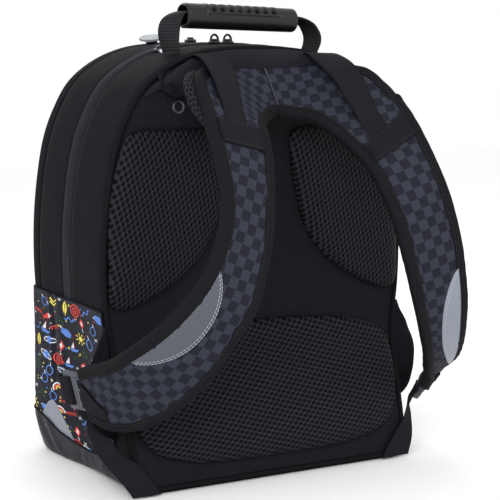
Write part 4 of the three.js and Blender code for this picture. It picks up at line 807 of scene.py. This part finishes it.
def build_pad(name, rim, thick, node, lean):
    """Domed cushion on the back panel; lean turns its mesh by degrees."""
    rows, cols = 72, 61
    a = -np.cos(np.linspace(0, math.pi, cols))
    x, z, low, high = spans_of(rim, 0.05, rows, (a + 1) / 2)
    up = ((z - low) / (high - low)) * 2 - 1
    dome = np.sqrt(np.clip((1 - np.abs(a) ** 4) * (1 - np.abs(up) ** 4), 0, 1))
    out = 0.6 + 2 + (thick - 2) * dome + 0.4 * ripple(x, z, 31) * dome
    verts = [np.stack([x, back_y(z) - o, z], axis=-1).reshape(-1, 3) for o in (out, 0.4)]
    n = rows * cols
    faces = grid_faces(rows, cols) + grid_faces(rows, cols, start=n, flip=True)
    for p in range(0, n - cols, cols):
        q, r = p + cols, p + cols - 1
        faces += [[p, q, n + q, n + p], [r, n + r, n + r + cols, r + cols]]
    for c in range(cols - 1):
        k = n - cols + c
        faces += [[c, n + c, n + c + 1, c + 1], [k, k + 1, n + k + 1, n + k]]
    uv = pair(x + 2.2 * dome * a, z + 2.2 * dome * up).reshape(-1, 2)
    uv = turned(uv, math.radians(lean))
    obj = mesh_object(name, np.concatenate(verts), faces, PAD_MESH, np.concatenate([uv, uv]))
    dress(obj, node)


def build_panel():
    a = np.linspace(0, 1, 80)
    x, z, _, _ = spans_of(rim_points(-BACK_FACE, PIPING_RADIUS * 2 + GAP), 0.02, 120, a)
    edge = smoothstep(np.minimum(a, 1 - a), 0, 0.04)
    seam = -1.2 * np.exp(-((z - 345.5) / 1.6) ** 2) + 0.8 * np.exp(-((z - 342.0) / 1.4) ** 2)
    y = back_y(z) - 0.25 * edge + 0.2 * ripple(x, z, 41, ((70, 1.0), (35, 0.5)))
    y = y + (seam - 0.8 * smoothstep(z, 343, 360) * smoothstep(412 - z, 0, 20)) * edge
    obj = grid_object("cloth_back_panel", np.stack([x, y, z], axis=-1), NYLON_PANEL, pair(x, z))
    dress(obj, "back_panel")


def build_piping():
    path = rim_points(-BACK_FACE, PIPING_RADIUS)
    path[:, 1] = back_y(path[:, 2])
    rings = round_tube(path, PIPING_RADIUS, 12, closed=True, normal=[[0.0, -1.0, 0.0]])
    uv = pair(np.arange(12)[None, :] * 1.3, RIM_LENGTH[:, None])
    obj = grid_object("cord_piping", rings, PIPING, uv, wrap_c=True, wrap_r=True)
    dress(obj, "panel_piping")


def boot_top(y):
    return np.mean([np.interp(np.asarray(y, float) + d, *zip(*BOOT_LINE)) for d in (-6, -3, 0, 3, 6)],
                   axis=0)


def pocket(t, z):
    """How far the lower front of the bag stands out beyond its frame."""
    return np.interp(z, *zip(*POCKET)) * smoothstep(t, -40, 70)


def depth_row(t, out=0.0):
    """Depth and inset for a length measured from the panel round to the front, and the frame's depth."""
    a = np.clip((np.asarray(t, float) - SHOULDER_Y) / FRONT_ROUND, 0, math.pi / 2)
    radius, flat = FRONT_ROUND + out, t < SHOULDER_Y
    return (np.where(flat, t, SHOULDER_Y + radius * np.sin(a)),
            np.where(flat, -out, FRONT_ROUND - radius * np.cos(a)),
            np.where(flat, t, SHOULDER_Y + FRONT_ROUND * np.sin(a)))


def side_point(t, z, side, out):
    """Point on a lower side, then round the edge and in to the middle of the front."""
    t, z, out = np.broadcast_arrays(np.asarray(t, float), np.asarray(z, float), np.asarray(out, float))
    y, inset, _ = depth_row(t, out + pocket(t, z))
    x, nx, nz = (np.interp(z, SZ, v) for v in (SX, SNX, SNZ))
    p = rim_points(y, inset, x, z, nx, nz)
    p[..., 0] = side * np.maximum(p[..., 0] - np.clip(t - EDGE_END, 0, None), GAP)
    return p


def print_swell(t, z):
    """How far the printed cloth stands off the body, with soft folds under the ridge."""
    fold = 1.5 * np.exp(-((t - 16) / 9) ** 2) - 1.3 * np.exp(-((t - 31) / 3.5) ** 2)
    fold = fold + 0.9 * np.exp(-((t - 38) / 4) ** 2) + 0.6 * np.exp(-((t + 38 + 0.2 * z) / 8) ** 2)
    return PRINT_OUT + fold * smoothstep(z, 40, 120) + 0.35 * ripple(t, z, 52, ((55, 1.0), (24, 0.5)))


def side_line(t, z, side, lift):
    """Points on the printed cloth with their normals."""
    return (side_point(t, z, side, print_swell(t, z) + lift),
            unit(side_point(t, z, side, 6.0) - side_point(t, z, side, 1.0)))


def build_print(name, h):
    side = h["side"]
    ts = np.concatenate([np.arange(-BACK_FACE + SEAM_DEPTH, SHOULDER_Y, 3.0),
                         np.linspace(SHOULDER_Y, EDGE_END, 12),
                         np.linspace(EDGE_END + 3, EDGE_END + 150, 46)])
    low = boot_top(depth_row(ts)[2])[:, None] - 4
    z = low + (PRINT_TOP - low) * np.linspace(0, 1, 46)
    t = np.broadcast_to(ts[:, None], z.shape)
    out = print_swell(t, z)
    edge = side_point(t[:, -1:], z[:, -1:], side, out[:, -1:] - 1.5)
    grid = np.concatenate([side_point(t, z, side, out), edge], axis=1)
    uv = np.concatenate([pair(t, z), pair(t[:, -1:], z[:, -1:] + 1.5)], axis=1)
    obj = grid_object("cloth_print_" + name, grid, PRINT, uv, flip=side > 0)
    dress(obj, "print_panel_" + name)
    line = side_line(ts[ts < EDGE_END + 120], PRINT_TOP - 2.2, side, 0.05)
    stitches("print_stitches_" + name, [line], HEM_THREAD, 5.0, 1.3, 0.45)
    build_doodles(name, side, np.random.RandomState(h["seed"]))


def circle(r, n=20, squash=1.0):
    a = np.linspace(0, FULL, n, endpoint=False)
    return np.stack([r * np.cos(a), r * squash * np.sin(a)], axis=1)


def curve(n, end, x, y, start=0.0):
    a = np.linspace(start, end, n)
    return np.stack([x(a), y(a)], axis=1)


def row_of(*points):
    return np.array(points, float)


def lobes(a):
    return 0.72 + 0.13 * np.abs(np.sin(a * 3))


def leaf_rim():
    y = np.linspace(-1, 1, 12)
    w = 0.42 * (1 - y ** 2) ** 0.8
    return np.concatenate([np.stack([w, y], axis=1), np.stack([-w[::-1], y[::-1]], axis=1)[1:-1]])


# Parts of each small drawing in units: colour, points, and the stroke's width, or 0 where it is filled
CHEVRON = row_of((-0.7, 0.4), (0, -0.1), (0.7, 0.4))
LARGE = [
    [("blue", circle(0.62), 0), ("white", circle(1.15, 24, 0.32), 0.12)],
    [("red", row_of((0, 1.0), (0.55, 0.2), (0, -0.7), (-0.55, 0.2)), 0),
     ("white", row_of((0, 0.62), (0.25, 0.2), (0, -0.3), (-0.25, 0.2)), 0),
     ("white", row_of((0, -0.7), (0.15, -0.9), (-0.1, -1.05), (0.15, -1.25)), 0.1)],
    [("blue", curve(41, FULL, lambda a: 1.15 * lobes(a) * np.cos(a),
                    lambda a: 0.72 * lobes(a) * np.sin(a))[:-1], 0)],
    [("blue", row_of((-0.9, -0.2), (0.9, -0.2), (0.55, -0.65), (-0.55, -0.65)), 0),
     ("white", row_of((0, 0.95), (0.65, -0.1), (0, -0.1)), 0), ("red", row_of((0, -0.2), (0, 1.0)), 0.1)],
    [("yellow", circle(0.42), 0)]
    + [("yellow", p * np.array([[0.62], [1.0]]), 0.14) for p in circle(1.0, 8)],
    [("yellow", leaf_rim(), 0), ("green", row_of((0, -1.2), (0, 0.7)), 0.12)],
    [("red", circle(0.75, 24, 0.5), 0), ("red", row_of((0.6, 0), (1.15, 0.4), (1.0, 0), (1.15, -0.4)), 0),
     ("white", circle(0.3, 14) - [0.25, 0], 0)],
    [("red", curve(44, 5 * math.pi, lambda a: a / 16 * np.cos(a), lambda a: a / 16 * np.sin(a)), 0.14)],
    [(c, curve(14, math.pi, lambda a: r * np.cos(a), lambda a: r * np.sin(a) - 0.4), 0.17)
     for c, r in (("white", 0.95), ("red", 0.68), ("yellow", 0.42))],
    [("blue", curve(22, 1.1, lambda a: a, lambda a: 0.25 * np.sin(a * 5.6), -1.1), 0.16)],
    [("blue", circle(0.6, 20, 1.2), 0.12), ("white", row_of((0, 0.75), (0.25, 1.2)), 0.12)],
    [("yellow", CHEVRON, 0.17), ("yellow", CHEVRON - [0, 0.45], 0.17)],
    [("green", row_of((-0.75, -0.5), (0.75, -0.5), (0, 0.8), (-0.75, -0.5)), 0.13),
     ("green", circle(0.16, 10), 0)],
    [("red", row_of((-1.0, 0.3), (1.0, 0.3)), 0.1)]
    + [("red", row_of((x, 0.2), (x, -0.15)), 0.12) for x in (-0.9, -0.5, -0.1, 0.3, 0.7)]]
DOT = {color: [(color, circle(0.3, 10), 0)] for color in DOODLE}
SMALL = [
    [("white", row_of((-0.5, -0.5), (0.5, 0.5)), 0.2), ("white", row_of((-0.5, 0.5), (0.5, -0.5)), 0.2)],
    DOT["red"], [("yellow", row_of((-0.5, 0), (0.5, 0)), 0.2), ("yellow", row_of((0, -0.5), (0, 0.5)), 0.2)],
    DOT["white"], [("green", circle(0.5, 14), 0.16)], DOT["blue"], DOT["red"], DOT["yellow"]]


def build_doodles(name, side, rng):
    """Small drawings in rows on the printed cloth, one mesh for each colour."""
    parts = {}

    def place(motif, t0, z0, size, turn):
        for color, pts, width in motif:
            verts, faces = parts.setdefault(color, ([], []))
            start = len(verts)
            if width:
                if len(pts) > 8 and np.linalg.norm(pts[0] - pts[-1]) < 0.5:
                    pts = np.concatenate([pts, pts[:1]])
                d = unit(np.gradient(pts, axis=0))
                w = np.stack([-d[:, 1], d[:, 0]], axis=1) * width * 0.62
                n = len(pts)
                faces.extend([start + i, start + i + 1, start + n + i + 1, start + n + i]
                             for i in range(n - 1))
                pts = np.concatenate([pts + w, pts - w])
            else:
                faces.append(list(range(start, start + len(pts))))
            flat = turned(pts, turn) * [size * 1.7, size] + [t0, z0]
            t = np.maximum(flat[:, 0], -87.0)
            lift = 0.16 if color in ("white", "green") else 0.12
            z = np.clip(flat[:, 1], None, PRINT_TOP - 1.2)
            verts.extend(side_point(t, z, side, print_swell(t, flat[:, 1]) + lift))
    z0, order = 24.0, list(LARGE)
    for row in range(11):
        t0 = -80 + (row % 2) * 13 + rng.uniform(-3, 3)
        while t0 < 225:
            order = order or list(LARGE)
            motif = order.pop(int(rng.randint(min(5, len(order)))))
            if z0 > boot_top(depth_row(np.array(t0))[2]) - 2:
                place(motif, t0 + rng.uniform(-3, 3), z0 + rng.uniform(-2.5, 2.5), rng.uniform(5.8, 7.6),
                      rng.uniform(-0.5, 0.5))
                for _ in range(2):
                    place(SMALL[int(rng.randint(len(SMALL)))], t0 + 13 + rng.uniform(-4, 4),
                          z0 + rng.uniform(-7, 7), rng.uniform(1.6, 3.0), rng.uniform(-0.8, 0.8))
            t0 += rng.uniform(24, 29)
        z0 += 14.0
    for color, (verts, faces) in parts.items():
        dress(mesh_object(f"doodle_{color}_{name}", verts, faces, DOODLE[color]))


def build_boot():
    """Coated cup round the foot: rows go from side to side under the bag, from the panel to the front."""
    order = run_of(RZ < 62)[::-1]
    x, z, nx, nz = RX[order], RZ[order], RNX[order], RNZ[order]
    s = arc_lengths(np.stack([x, z], axis=1))
    low = int(np.argmin(z))
    ts = np.concatenate([np.arange(-BACK_FACE - LUMBAR_REACH + SEAM_DEPTH, SHOULDER_Y, 2.5),
                         np.linspace(SHOULDER_Y, EDGE_END, 14)])
    cols = 150
    rows, uvs = [], []

    def add_row(t, top, extra):
        q = np.linspace(np.interp(-top, -z[:low + 1], s[:low + 1]), np.interp(top, z[low:], s[low:]), cols)
        at = [np.interp(q, s, v) for v in (x, z, nx, nz)]
        folds = sum(amp * np.exp(-((t - t0 - slope * at[1]) / width) ** 2)
                    for t0, slope, amp, width in FOLDS)
        calm = smoothstep(at[1], 4, 14) * smoothstep(np.minimum(q - q[0], q[-1] - q), 0, 6)
        bump = (folds + 0.35 * ripple(q, t, 61, ((48, 1.0), (21, 0.5)))) * calm
        y, inset, _ = depth_row(t, BASE_LIFT + bump + pocket(t, at[1]))
        p = rim_points(y, inset + extra, *at)
        p[:, 2] = np.clip(p[:, 2], 0.05, BOOT_TOP_FRONT if extra else None)
        rows.append(p)
        uvs.append(pair(q, t + extra))
    for t in ts:
        add_row(t, float(boot_top(depth_row(t)[2])), 0.0)
    for extra in np.linspace(0, BOOT_TOP_FRONT - BASE_LIFT - FRONT_ROUND, 9)[1:]:
        add_row(EDGE_END, BOOT_TOP_FRONT, extra)
    grid = np.array(rows)
    obj = grid_object("cloth_boot", grid, BOOT, np.array(uvs))
    dress(obj, "base_boot")
    for end, out, label in ((0, 0.5, "right"), (-1, -0.5, "left")):
        rings = round_tube(resample(grid[:len(ts), end], 2.0) + [out, 0, 0.2], 1.05)
        dress(tube_object("boot_edge_" + label, rings, TAPE))
    lines = []
    for path, out in ((grid[0][:cols // 2], 1.0), (grid[0][cols // 2:], -1.0)):
        lines.append((path[path[:, 2] > 3] + [0, 3.0, 0], [[out, 0.0, 0.0]]))
    stitches("boot_stitches", lines, THREAD)


def build_front():
    rows = [(SECOND_FRONT + GAP, 0.6 + ZERO), (SECOND_FRONT + GAP + 3, ZERO), (SHOULDER_Y, ZERO)]
    rows += [(SHOULDER_Y + FRONT_ROUND * math.sin(a), FRONT_ROUND * (1 - math.cos(a)) + ZERO)
             for a in np.radians([15, 30, 45, 60, 75, 90])]
    band("cloth_front_round", "front_shell", rows, NYLON, fold=0.5)
    edge = rim_points(FRONT_FACE, FRONT_ROUND + GAP)
    middle = np.array([0, FRONT_FACE, BODY_HEIGHT / 2])
    rings = []
    for share in np.linspace(0, 1, 30)[:-1]:
        p = edge * (1 - share) + middle * share
        p[:, 1] = FRONT_FACE - 0.3 * ripple(p[:, 0], p[:, 2], 71, ((80, 1.0), (40, 0.5)))
        rings.append(p)
    verts = np.concatenate(rings + [middle[None]])
    n, base = len(edge), (len(rings) - 1) * len(edge)
    faces = grid_faces(len(rings), n, wrap_c=True)
    faces += [[base + i, base + (i + 1) % n, base + n] for i in range(n)]
    obj = mesh_object("cloth_front_panel", verts, faces, NYLON, verts[:, [0, 2]])
    dress(obj, "front_panel")
    seam = rim_points(FRONT_FACE + 0.6, FRONT_ROUND + GAP / 2)[run_of(RZ > PRINT_TOP - 6)]
    dress(tube_object("front_seam", round_tube(seam, 1.0), TAPE))


def build_reflector(name, side):
    outline = catmull(LEAF)(np.linspace(0.02, 0.98, 44))
    y = outline[:, 0]
    bottom = boot_top(y) - 1.0
    height = np.maximum(outline[:, 1] - bottom, 0.4)
    share = np.linspace(0, 1, 14)
    z = bottom[:, None] + height[:, None] * share
    t = np.broadcast_to(y[:, None], z.shape)
    rim = smoothstep((1 - share) * height[:, None], 0, 1.5) * smoothstep(z - boot_top(t), 0.5, 4)
    grid = side_point(t, z, side, print_swell(t, z) + 0.15 + 0.6 * rim)
    obj = grid_object("cloth_reflector_" + name, grid, REFLECT, pair(t, z), flip=side > 0)
    dress(obj, "side_reflector_" + name)
    keep = height > 5
    lines = [side_line(y[keep], (bottom + height - drop)[keep], side, 0.85) for drop in (1.3, 2.6)]
    stitches("reflector_zigzag_" + name, lines, THREAD_GREY, 2.6, 1.6, 0.45)


def build_wing(name, side, reach):
    steps = 40
    h = np.linspace(0, 1, steps)
    pts = catmull(WING)(h)
    plump = np.interp(h, pts[:, 0], np.clip(pts[:, 1], 0.02, None))[:, None]
    z = 47.0 + (158.0 - 47.0) * h
    base = rim_points(back_y(z), -GAP, np.interp(z, SZ, SX), z, *(np.interp(z, SZ, v) for v in (SNX, SNZ)))
    share = np.linspace(0, 1, 12)
    width = reach * plump
    wave = 0.7 * ripple(z[:, None], width * share * 3, 81, ((40, 1.0), (18, 0.5))) * share
    front = np.stack([side * (base[:, :1] + width * share),
                      -BACK_FACE - GAP * 2 + 3.0 * plump * share + wave,
                      np.broadcast_to(z[:, None], (steps, 12))], axis=-1)
    rings = shell(front, front + [0, 1.8, 0])[:, ::side]
    obj = tube_object("cloth_wing_" + name, rings, NYLON, rings[..., [0, 2]])
    dress(obj, "side_wing_" + name)
    stitches("wing_stitches_" + name, [(front[:, 10], [[0.0, -1.0, 0.0]])], THREAD)


def build_roll():
    """Padded roll under the top edge, thinning out as it follows the edge down on both sides."""
    x, z, nx, nz = (v[:, None] for v in rim_part((RZ > 360) & (np.abs(RX) < 131), RX))
    a = np.linspace(0, FULL, 30, endpoint=False)
    thin = 1 - smoothstep(np.abs(x), 86, 131)
    start = 6.0 - 3.4 * (1 - smoothstep(np.abs(x), 70, 100))
    across, out = soft(np.sin(a), 0.8), soft(np.cos(a), 0.8)
    inset = start + (2.2 + 8.4 * thin) * (1 - across)
    sag = 0.8 * np.cos(x / 24) * (1 - across) / 2
    y = -BACK_FACE - GAP - (1.2 + 4.6 * thin ** 0.8) * (1.05 + out)
    y = y - 0.4 * ripple(x, a * 6, 91, ((30, 1.0), (13, 0.5))) * (out > 0)
    rings = np.stack([x - nx * inset, np.minimum(y, -BACK_FACE - GAP / 2), z - nz * (inset + sag)], axis=-1)
    uv = pair(arc_lengths(np.concatenate([x, z], axis=1))[:, None], a * 8)
    dress(tube_object("padded_roll", rings, ROLL, uv), "top_roll")


HANDLE_Y, HANDLE_SPAN = -60.0, 78.0
GRIP_CENTRE = np.array([-4.0, HANDLE_Y, 447.0])
WEB_TOP = 447.0 + 4.32 - 0.9


def top_point(x, y, out):
    """Point over the top cloth and the normal there."""
    z, nx, nz = (np.interp(x, TX, v) for v in (TZ, TNX, TNZ))
    return rim_points(y, -out, x, z, nx, nz), unit([nx, 0, nz])


def tilt(p):
    """Lifts the left end of the grip a little."""
    p = np.array(p, float)
    p[..., 2] += (0.8 - 0.032 * (p[..., 0] - GRIP_CENTRE[0])) * smoothstep(p[..., 2], 425, 440)
    return p


def build_handle():
    foot = top_point(HANDLE_SPAN, HANDLE_Y, 2.6)[0][2]
    rows = [(x * HANDLE_SPAN, HANDLE_Y, foot + rise * (WEB_TOP - foot)) for x, rise, _ in HANDLE]
    at = np.linspace(0, 1, 130)
    mid = tilt(catmull(rows)(at))
    turn = np.radians(np.interp(at * (len(rows) - 1), np.arange(len(rows)), [t for _, _, t in HANDLE]))
    across = np.stack([np.sin(turn), -np.cos(turn), 0 * turn], axis=1)
    normal = unit(np.cross(unit(np.gradient(mid, axis=0)), across))[:, None]
    c = np.linspace(-1, 1, 12)
    thick = (1.1 - 0.35 * np.abs(c) ** 4)[:, None]
    middle = mid[:, None] + 10.6 * c[:, None] * across[:, None]
    length = arc_lengths(mid)
    uv = pair(10.6 * c, length[:, None])
    rings = shell(middle + normal * thick, middle - normal * thick)
    obj = tube_object("handle_web", rings, HANDLE_WEB, shell(uv, uv))
    dress(obj, "handle_webbing")


def build_grip():
    """Moulded sleeve: rounded, open at both ends, with eight slots in a framed field."""
    half, rows, cols = 62.0, 250, 132
    x = np.linspace(-half, half, rows)[:, None]
    a = np.linspace(0, FULL, cols, endpoint=False)
    radial = np.stack([soft(np.sin(a), 0.84), soft(np.cos(a), 0.84)], axis=1)
    ring = radial * [13.8, 11.9]
    girth = arc_lengths(np.vstack([ring, ring[:1]]))
    s = np.minimum(girth[:-1], girth[-1] - girth[:-1])
    end = 1 - 0.16 * smoothstep(np.abs(x), half - 2.2, half)
    slot = np.max([1 - smoothstep(np.hypot(np.abs(x - (k - 3.5) * 9.6), np.maximum(s - 14.6, 0)), 1.5, 2.7)
                   for k in range(8)], axis=0)
    field = smoothstep(40.5 - np.abs(x), 0, 1.2) * smoothstep(18.8 - s, 0, 1.2)
    line = np.maximum((1 - smoothstep(np.abs(np.abs(x) - 41.5), 0.2, 0.9)) * (s < 20.0),
                      (1 - smoothstep(np.abs(s - 19.6), 0.2, 0.9)) * (np.abs(x) < 41.9))
    cut = 3.4 * slot - 0.45 * field * (1 - slot) + 0.7 * line
    skin = ring * end[..., None] - unit(radial) * cut[..., None]
    outer = np.concatenate([np.broadcast_to(x[..., None], (rows, cols, 1)), skin], axis=2)
    front, back = ([np.concatenate([np.full((cols, 1), sign * v), ring * 0.8 * k], axis=1)
                    for v, k in ((half - 0.4, 1.0), (half - 3.0, 0.98), (half - 30.0, 0.97))]
                   for sign in (1, -1))
    grid = tilt(np.concatenate([np.array(back[::-1]), outer, np.array(front)]) + GRIP_CENTRE)
    obj = grid_object("grip_sleeve", grid, [MOULDED, PAINTED_SHADOW], wrap_c=True, flip=True)
    # Faces deep in the slots and inside both open ends take the shadow cloth: painted shade in the recesses
    painted_shade_faces = np.zeros((len(grid) - 1, cols), int)
    painted_shade_faces[3:3 + rows - 1] = (slot[:-1] > 0.75) & (slot[1:] > 0.75)
    painted_shade_faces[:2] = painted_shade_faces[-2:] = 1
    obj.data.polygons.foreach_set("material_index", painted_shade_faces.ravel())
    dress(obj, "handle_grip")


def rounded_block(centre, axes, sizes, power=0.35):
    """Rings of a block with rounded edges; axes are unit vectors, sizes whole lengths."""
    a = np.linspace(0, FULL, 24, endpoint=False)[:, None]
    c, k = soft(np.cos(a), power), soft(np.sin(a), power)
    end, edge = sizes[0] / 2, min(sizes) * 0.28
    rings = []
    for off, shrink in ((-end, 0.75), (-end + edge * 0.3, 0.42), (-end + edge, 0.0), (end - edge, 0.0),
                        (end - edge * 0.3, 0.42), (end, 0.75)):
        w, d = sizes[1] / 2 - shrink * edge, sizes[2] / 2 - shrink * edge
        rings.append(centre + off * axes[0] + w * c * axes[1] + d * k * axes[2])
    return np.array(rings)


def build_buckle(name, h):
    """Three-bar buckle past the strap's end, and the two folds of webbing round its bars."""
    side, rows = h["side"], h["rows"]
    f = frames_of(rows, side, [len(rows) - 1])
    across, normal = f["across"][0], f["normal"][0]
    along = unit(f["along"][0] - across * np.dot(f["along"][0], across))
    normal = unit(np.cross(along, across)) * (1 if np.dot(np.cross(along, across), normal) > 0 else -1)
    centre = f["middle"][0] + along * 15.2
    axes = (across, along, normal)
    bars = [rounded_block(centre + along * v, axes, (34, wide, 4.4)) for v, wide in ((0, 3.6), (11, 4.0))]
    bars.append(rounded_block(centre + along * -8.4 + normal * 2.4, axes, (31, 8.6, 2.6)))
    bars += [rounded_block(centre + across * v, (along, across, normal), (26, 4.4, 4.6)) for v in (-17, 17)]
    dress(tube_object("buckle_" + name, bars, BUCKLE), "ladder_lock_" + name)
    c = np.linspace(-1, 1, 9)[:, None]
    for label, low, high, node in (("near", -13.0, -9.0, "strap_end_loop_"),
                                   ("far", 9.0, 17.0, "adjuster_loop_")):
        mid, flat = (low + high) / 2, (high - low) / 2
        rings = []
        for a in np.linspace(0, FULL, 29)[:-1]:
            d = math.cos(a) * along + math.sin(a) * normal
            core = centre + along * mid + (flat if math.cos(a) > 0 else -flat) * along + 14.2 * c * across
            lift = 0.35 * ripple(c * 14, a * 6, 97, ((16, 1.0), (9, 0.6)))
            rings.append(np.concatenate([core + (3.9 + lift) * d, (core + 2.5 * d)[::-1]]))
        rings = np.array(rings)[:, ::-side]
        girth = arc_lengths(rings[:, 0])
        uv = pair(14.2 * np.concatenate([c, c[::-1]]).T, girth[:, None])
        obj = grid_object(f"web_{label}_{name}", rings, WEB, uv, wrap_c=True, wrap_r=True)
        dress(obj, node + name)


# Half of the arch of a pull: distance from its middle, height
ARCH = [(-4.3, -1.0), (-4.1, 2.0), (-3.3, 4.6), (-1.6, 6.2)]


def build_sliders():
    depth = np.array([0.0, 1.0, 0.0])
    arch = ARCH + [(0, 6.7)] + [(-a, b) for a, b in ARCH[::-1]]
    for node, share, place, mat in (("main_slider_left", -0.42, -MAIN_ZIP_PLACE, GUN),
                                    ("main_slider_middle", -0.055, -MAIN_ZIP_PLACE, GLOSSY),
                                    ("main_slider_right", 0.035, -MAIN_ZIP_PLACE, GLOSSY),
                                    ("second_slider_left", -0.24, SECOND_ZIP_PLACE, GLOSSY),
                                    ("second_slider_right", 0.03, SECOND_ZIP_PLACE, GLOSSY)):
        p, up = top_point(share * BODY_HALF_WIDTH, place, 1.6)
        along = unit(np.cross(depth, up))
        bodies = [rounded_block(p, (along, depth, up), (11, 8, 3.6), 0.5),
                  rounded_block(p + up * 2.6, (along, depth, up), (7, 3.4, 2.6), 0.7)]
        dress(tube_object(node.replace("slider", "zip_slider"), bodies, mat),
              node)
        if node in ("main_slider_middle", "main_slider_right"):
            path = catmull([p + along * a + up * (1.4 + b) for a, b in arch])(np.linspace(0, 1, 40))
            cord = round_tube(path, 1.15, 12, normal=[depth])
            obj = tube_object(node.replace("slider", "loop"), cord, GLOSSY)
            dress(obj, node.replace("slider", "pull"))
    a, up = top_point(-72.0, -27.0, 1.4)
    b, _ = top_point(-77.0, -42.0, 1.4)
    along = unit(b - a)
    across = unit(np.cross(along, up))
    bodies = [rounded_block((a + b) / 2, (along, across, unit(np.cross(across, along))), (16, 6.4, 2.2),
                            0.6),
              rounded_block(a * 0.2 + b * 0.8 + up * 0.8, (along, across, up), (3.6, 6.2, 2.4), 0.8)]
    dress(tube_object("slider_tag", bodies, SILVER))


def build_gill():
    """Mesh side of the left strap's root, bulging past the binding."""
    f = frames_of(STRAP_LEFT, -1, np.linspace(2.0, 5.3, 44))
    plump = np.sin(math.pi * np.linspace(0, 1, 44))[:, None] ** 0.6
    a = np.linspace(0, FULL, 26, endpoint=False)
    across = 4.5 - f["half"][:, None] - plump * 12.0 * (0.5 + 0.5 * np.cos(a))
    rings = on_frame(f, across, -1.2 - plump * 4.6 + plump * 5.2 * np.sin(a))
    uv = pair(a * 5.6, arc_lengths(f["middle"])[:, None])
    dress(tube_object("padded_gill", rings, GILL_MESH, uv))


# Folded cloth at the yoke's left end: x and z along its lower and its upper edge
FOLD_LOW = [(-112.0, 394.0), (-109.0, 384.0), (-105.0, 377.0), (-94.0, 372.0), (-84.0, 376.0)]
FOLD_HIGH = [(-104.0, 396.0), (-100.0, 396.5), (-95.0, 397.0), (-88.0, 398.0), (-78.0, 397.0)]


def build_yoke_trim():
    """Seam tape down the middle of the yoke, with zigzag stitches, and the folded cloth at its left end."""
    f = frames_of(STRAP_LEFT, -1, [0.0])
    w = f["half"][0] - 3
    across = np.linspace(-w, w - 6, 26)
    plump = 3.4 + 1.5 + 0.9 * np.sqrt(np.clip(1 - (across / w / 0.85) ** 2, 0, 1)) - 0.6
    n = unit(f["normal"][0] * [0, 1, 1])
    mid = f["middle"][0] + across[:, None] * f["across"][0] + plump[:, None] * n
    mid[:, 0] = 0
    c = np.linspace(-1, 1, 5)[:, None]
    top = mid[:, None] + np.array([1.9, 0, 0]) * c + n * (0.9 - 0.5 * np.abs(c))
    uv = pair(np.concatenate([c, c[::-1]]).T * 1.9, across[:, None])
    dress(tube_object("yoke_seam", shell(top, top - n * 0.9), TAPE, uv))
    zig = np.arange(0, 52)
    pts = np.stack([np.where(zig % 2 == 0, -1.3, 1.3)]
                   + [np.interp(zig / 2, np.arange(26), mid[:, k]) for k in (1, 2)], axis=1) + n
    dress(tube_object("yoke_zigzag", round_tube(resample(pts, 0.8), 0.3, 6), THREAD_ZIG))
    low, high = (catmull([(x, 0, z) for x, z in edge])(np.linspace(0, 1, 30))[:, None]
                 for edge in (FOLD_LOW, FOLD_HIGH))
    share = np.linspace(0, 1, 16)
    grid = low * (1 - share[:, None]) + high * share[:, None]
    u = np.linspace(0, 1, 30)[:, None]
    grid[..., 1] = (-BACK_FACE - 5.5 - 5.0 * u ** 2 - 1.3 * np.sin(u * 7 + share * 2.4) ** 2
                    - 2 * (1 - share) * u)
    rings = shell(grid, grid + [0, 1.6, 0])
    obj = tube_object("yoke_fold", rings, NYLON, rings[..., [0, 2]])
    dress(obj)
    stitches("yoke_fold_stitches", [(grid[1:16, 1], [[0.0, -1.0, 0.0]])], THREAD)


body_bands()
zip_band("main_zip", -MAIN_ZIP_PLACE)
zip_band("second_zip", SECOND_ZIP_PLACE)
for strap_name, harness in HARNESS.items():
    build_strap(strap_name, harness)
    build_pad("upper_pad_" + strap_name, pad_rim(UPPER_PAD, harness["side"]), 13.0,
              "upper_mesh_pad_" + strap_name, 18.0)
    build_print(strap_name, harness)
    build_reflector(strap_name, harness["side"])
    build_wing(strap_name, harness["side"], harness["wing"])
    build_buckle(strap_name, harness)
build_pad("lower_pad", pad_rim(LOWER_PAD, 1, whole=True), 15.0, "lower_mesh_pad", 76.0)
build_panel()
build_piping()
build_boot()
build_front()
build_roll()
build_handle()
build_grip()
build_sliders()
build_gill()
build_yoke_trim()

# Finish for the nodes that keep their own shape
for node_name, finish in (("metal_ring", SILVER), ("oval_pull", OVAL)):
    for slot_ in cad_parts[node_name].material_slots:
        slot_.material = finish

# Floor, light and camera
floor_mesh = bpy.data.meshes.new("floor")
floor_mesh.from_pydata([(-4, -4, -0.0005), (4, -4, -0.0005), (4, 4, -0.0005), (-4, 4, -0.0005)], [],
                       [(0, 1, 2, 3)])
floor = bpy.data.objects.new("floor", floor_mesh)
bpy.context.scene.collection.objects.link(floor)
floor_mesh.materials.append(Nodes("floor_paper").finish(srgb(252, 252, 252), 0.8, spec=0.1))

world = bpy.data.worlds.new("studio")
bpy.context.scene.world = world
world.use_nodes = True
world.node_tree.nodes["Background"].inputs[0].default_value = (1, 1, 1, 1)
world.node_tree.nodes["Background"].inputs[1].default_value = 1.0


def stand(name, data, place, target):
    """Object of the stage that looks from its place at the target."""
    obj = bpy.data.objects.new(name, data)
    obj.location = place
    obj.rotation_mode = "QUATERNION"
    obj.rotation_quaternion = (Vector(target) - Vector(place)).to_track_quat("-Z", "Y")
    bpy.context.scene.collection.objects.link(obj)
    return obj


for name, place, height, size, power in (("key", (-1.2, -1.7, 1.25), 0.2, 1.2, 25),
                                         ("fill", (1.8, -1.2, 0.9), 0.2, 1.6, 6),
                                         ("rim", (0.4, 1.6, 1.6), 0.25, 1.2, 8)):
    light = bpy.data.lights.new(name, "AREA")
    light.shape, light.size, light.energy = "DISK", size, power
    stand(name, light, place, (0, 0, height))

lens = bpy.data.cameras.new("camera")
lens.lens, lens.sensor_width = 108, 36
bpy.context.scene.camera = stand("camera", lens, (-0.7362, -1.3645, 0.4096), (0.0436, 0, 0.2074))
bpy.context.scene.view_settings.view_transform = "Standard"
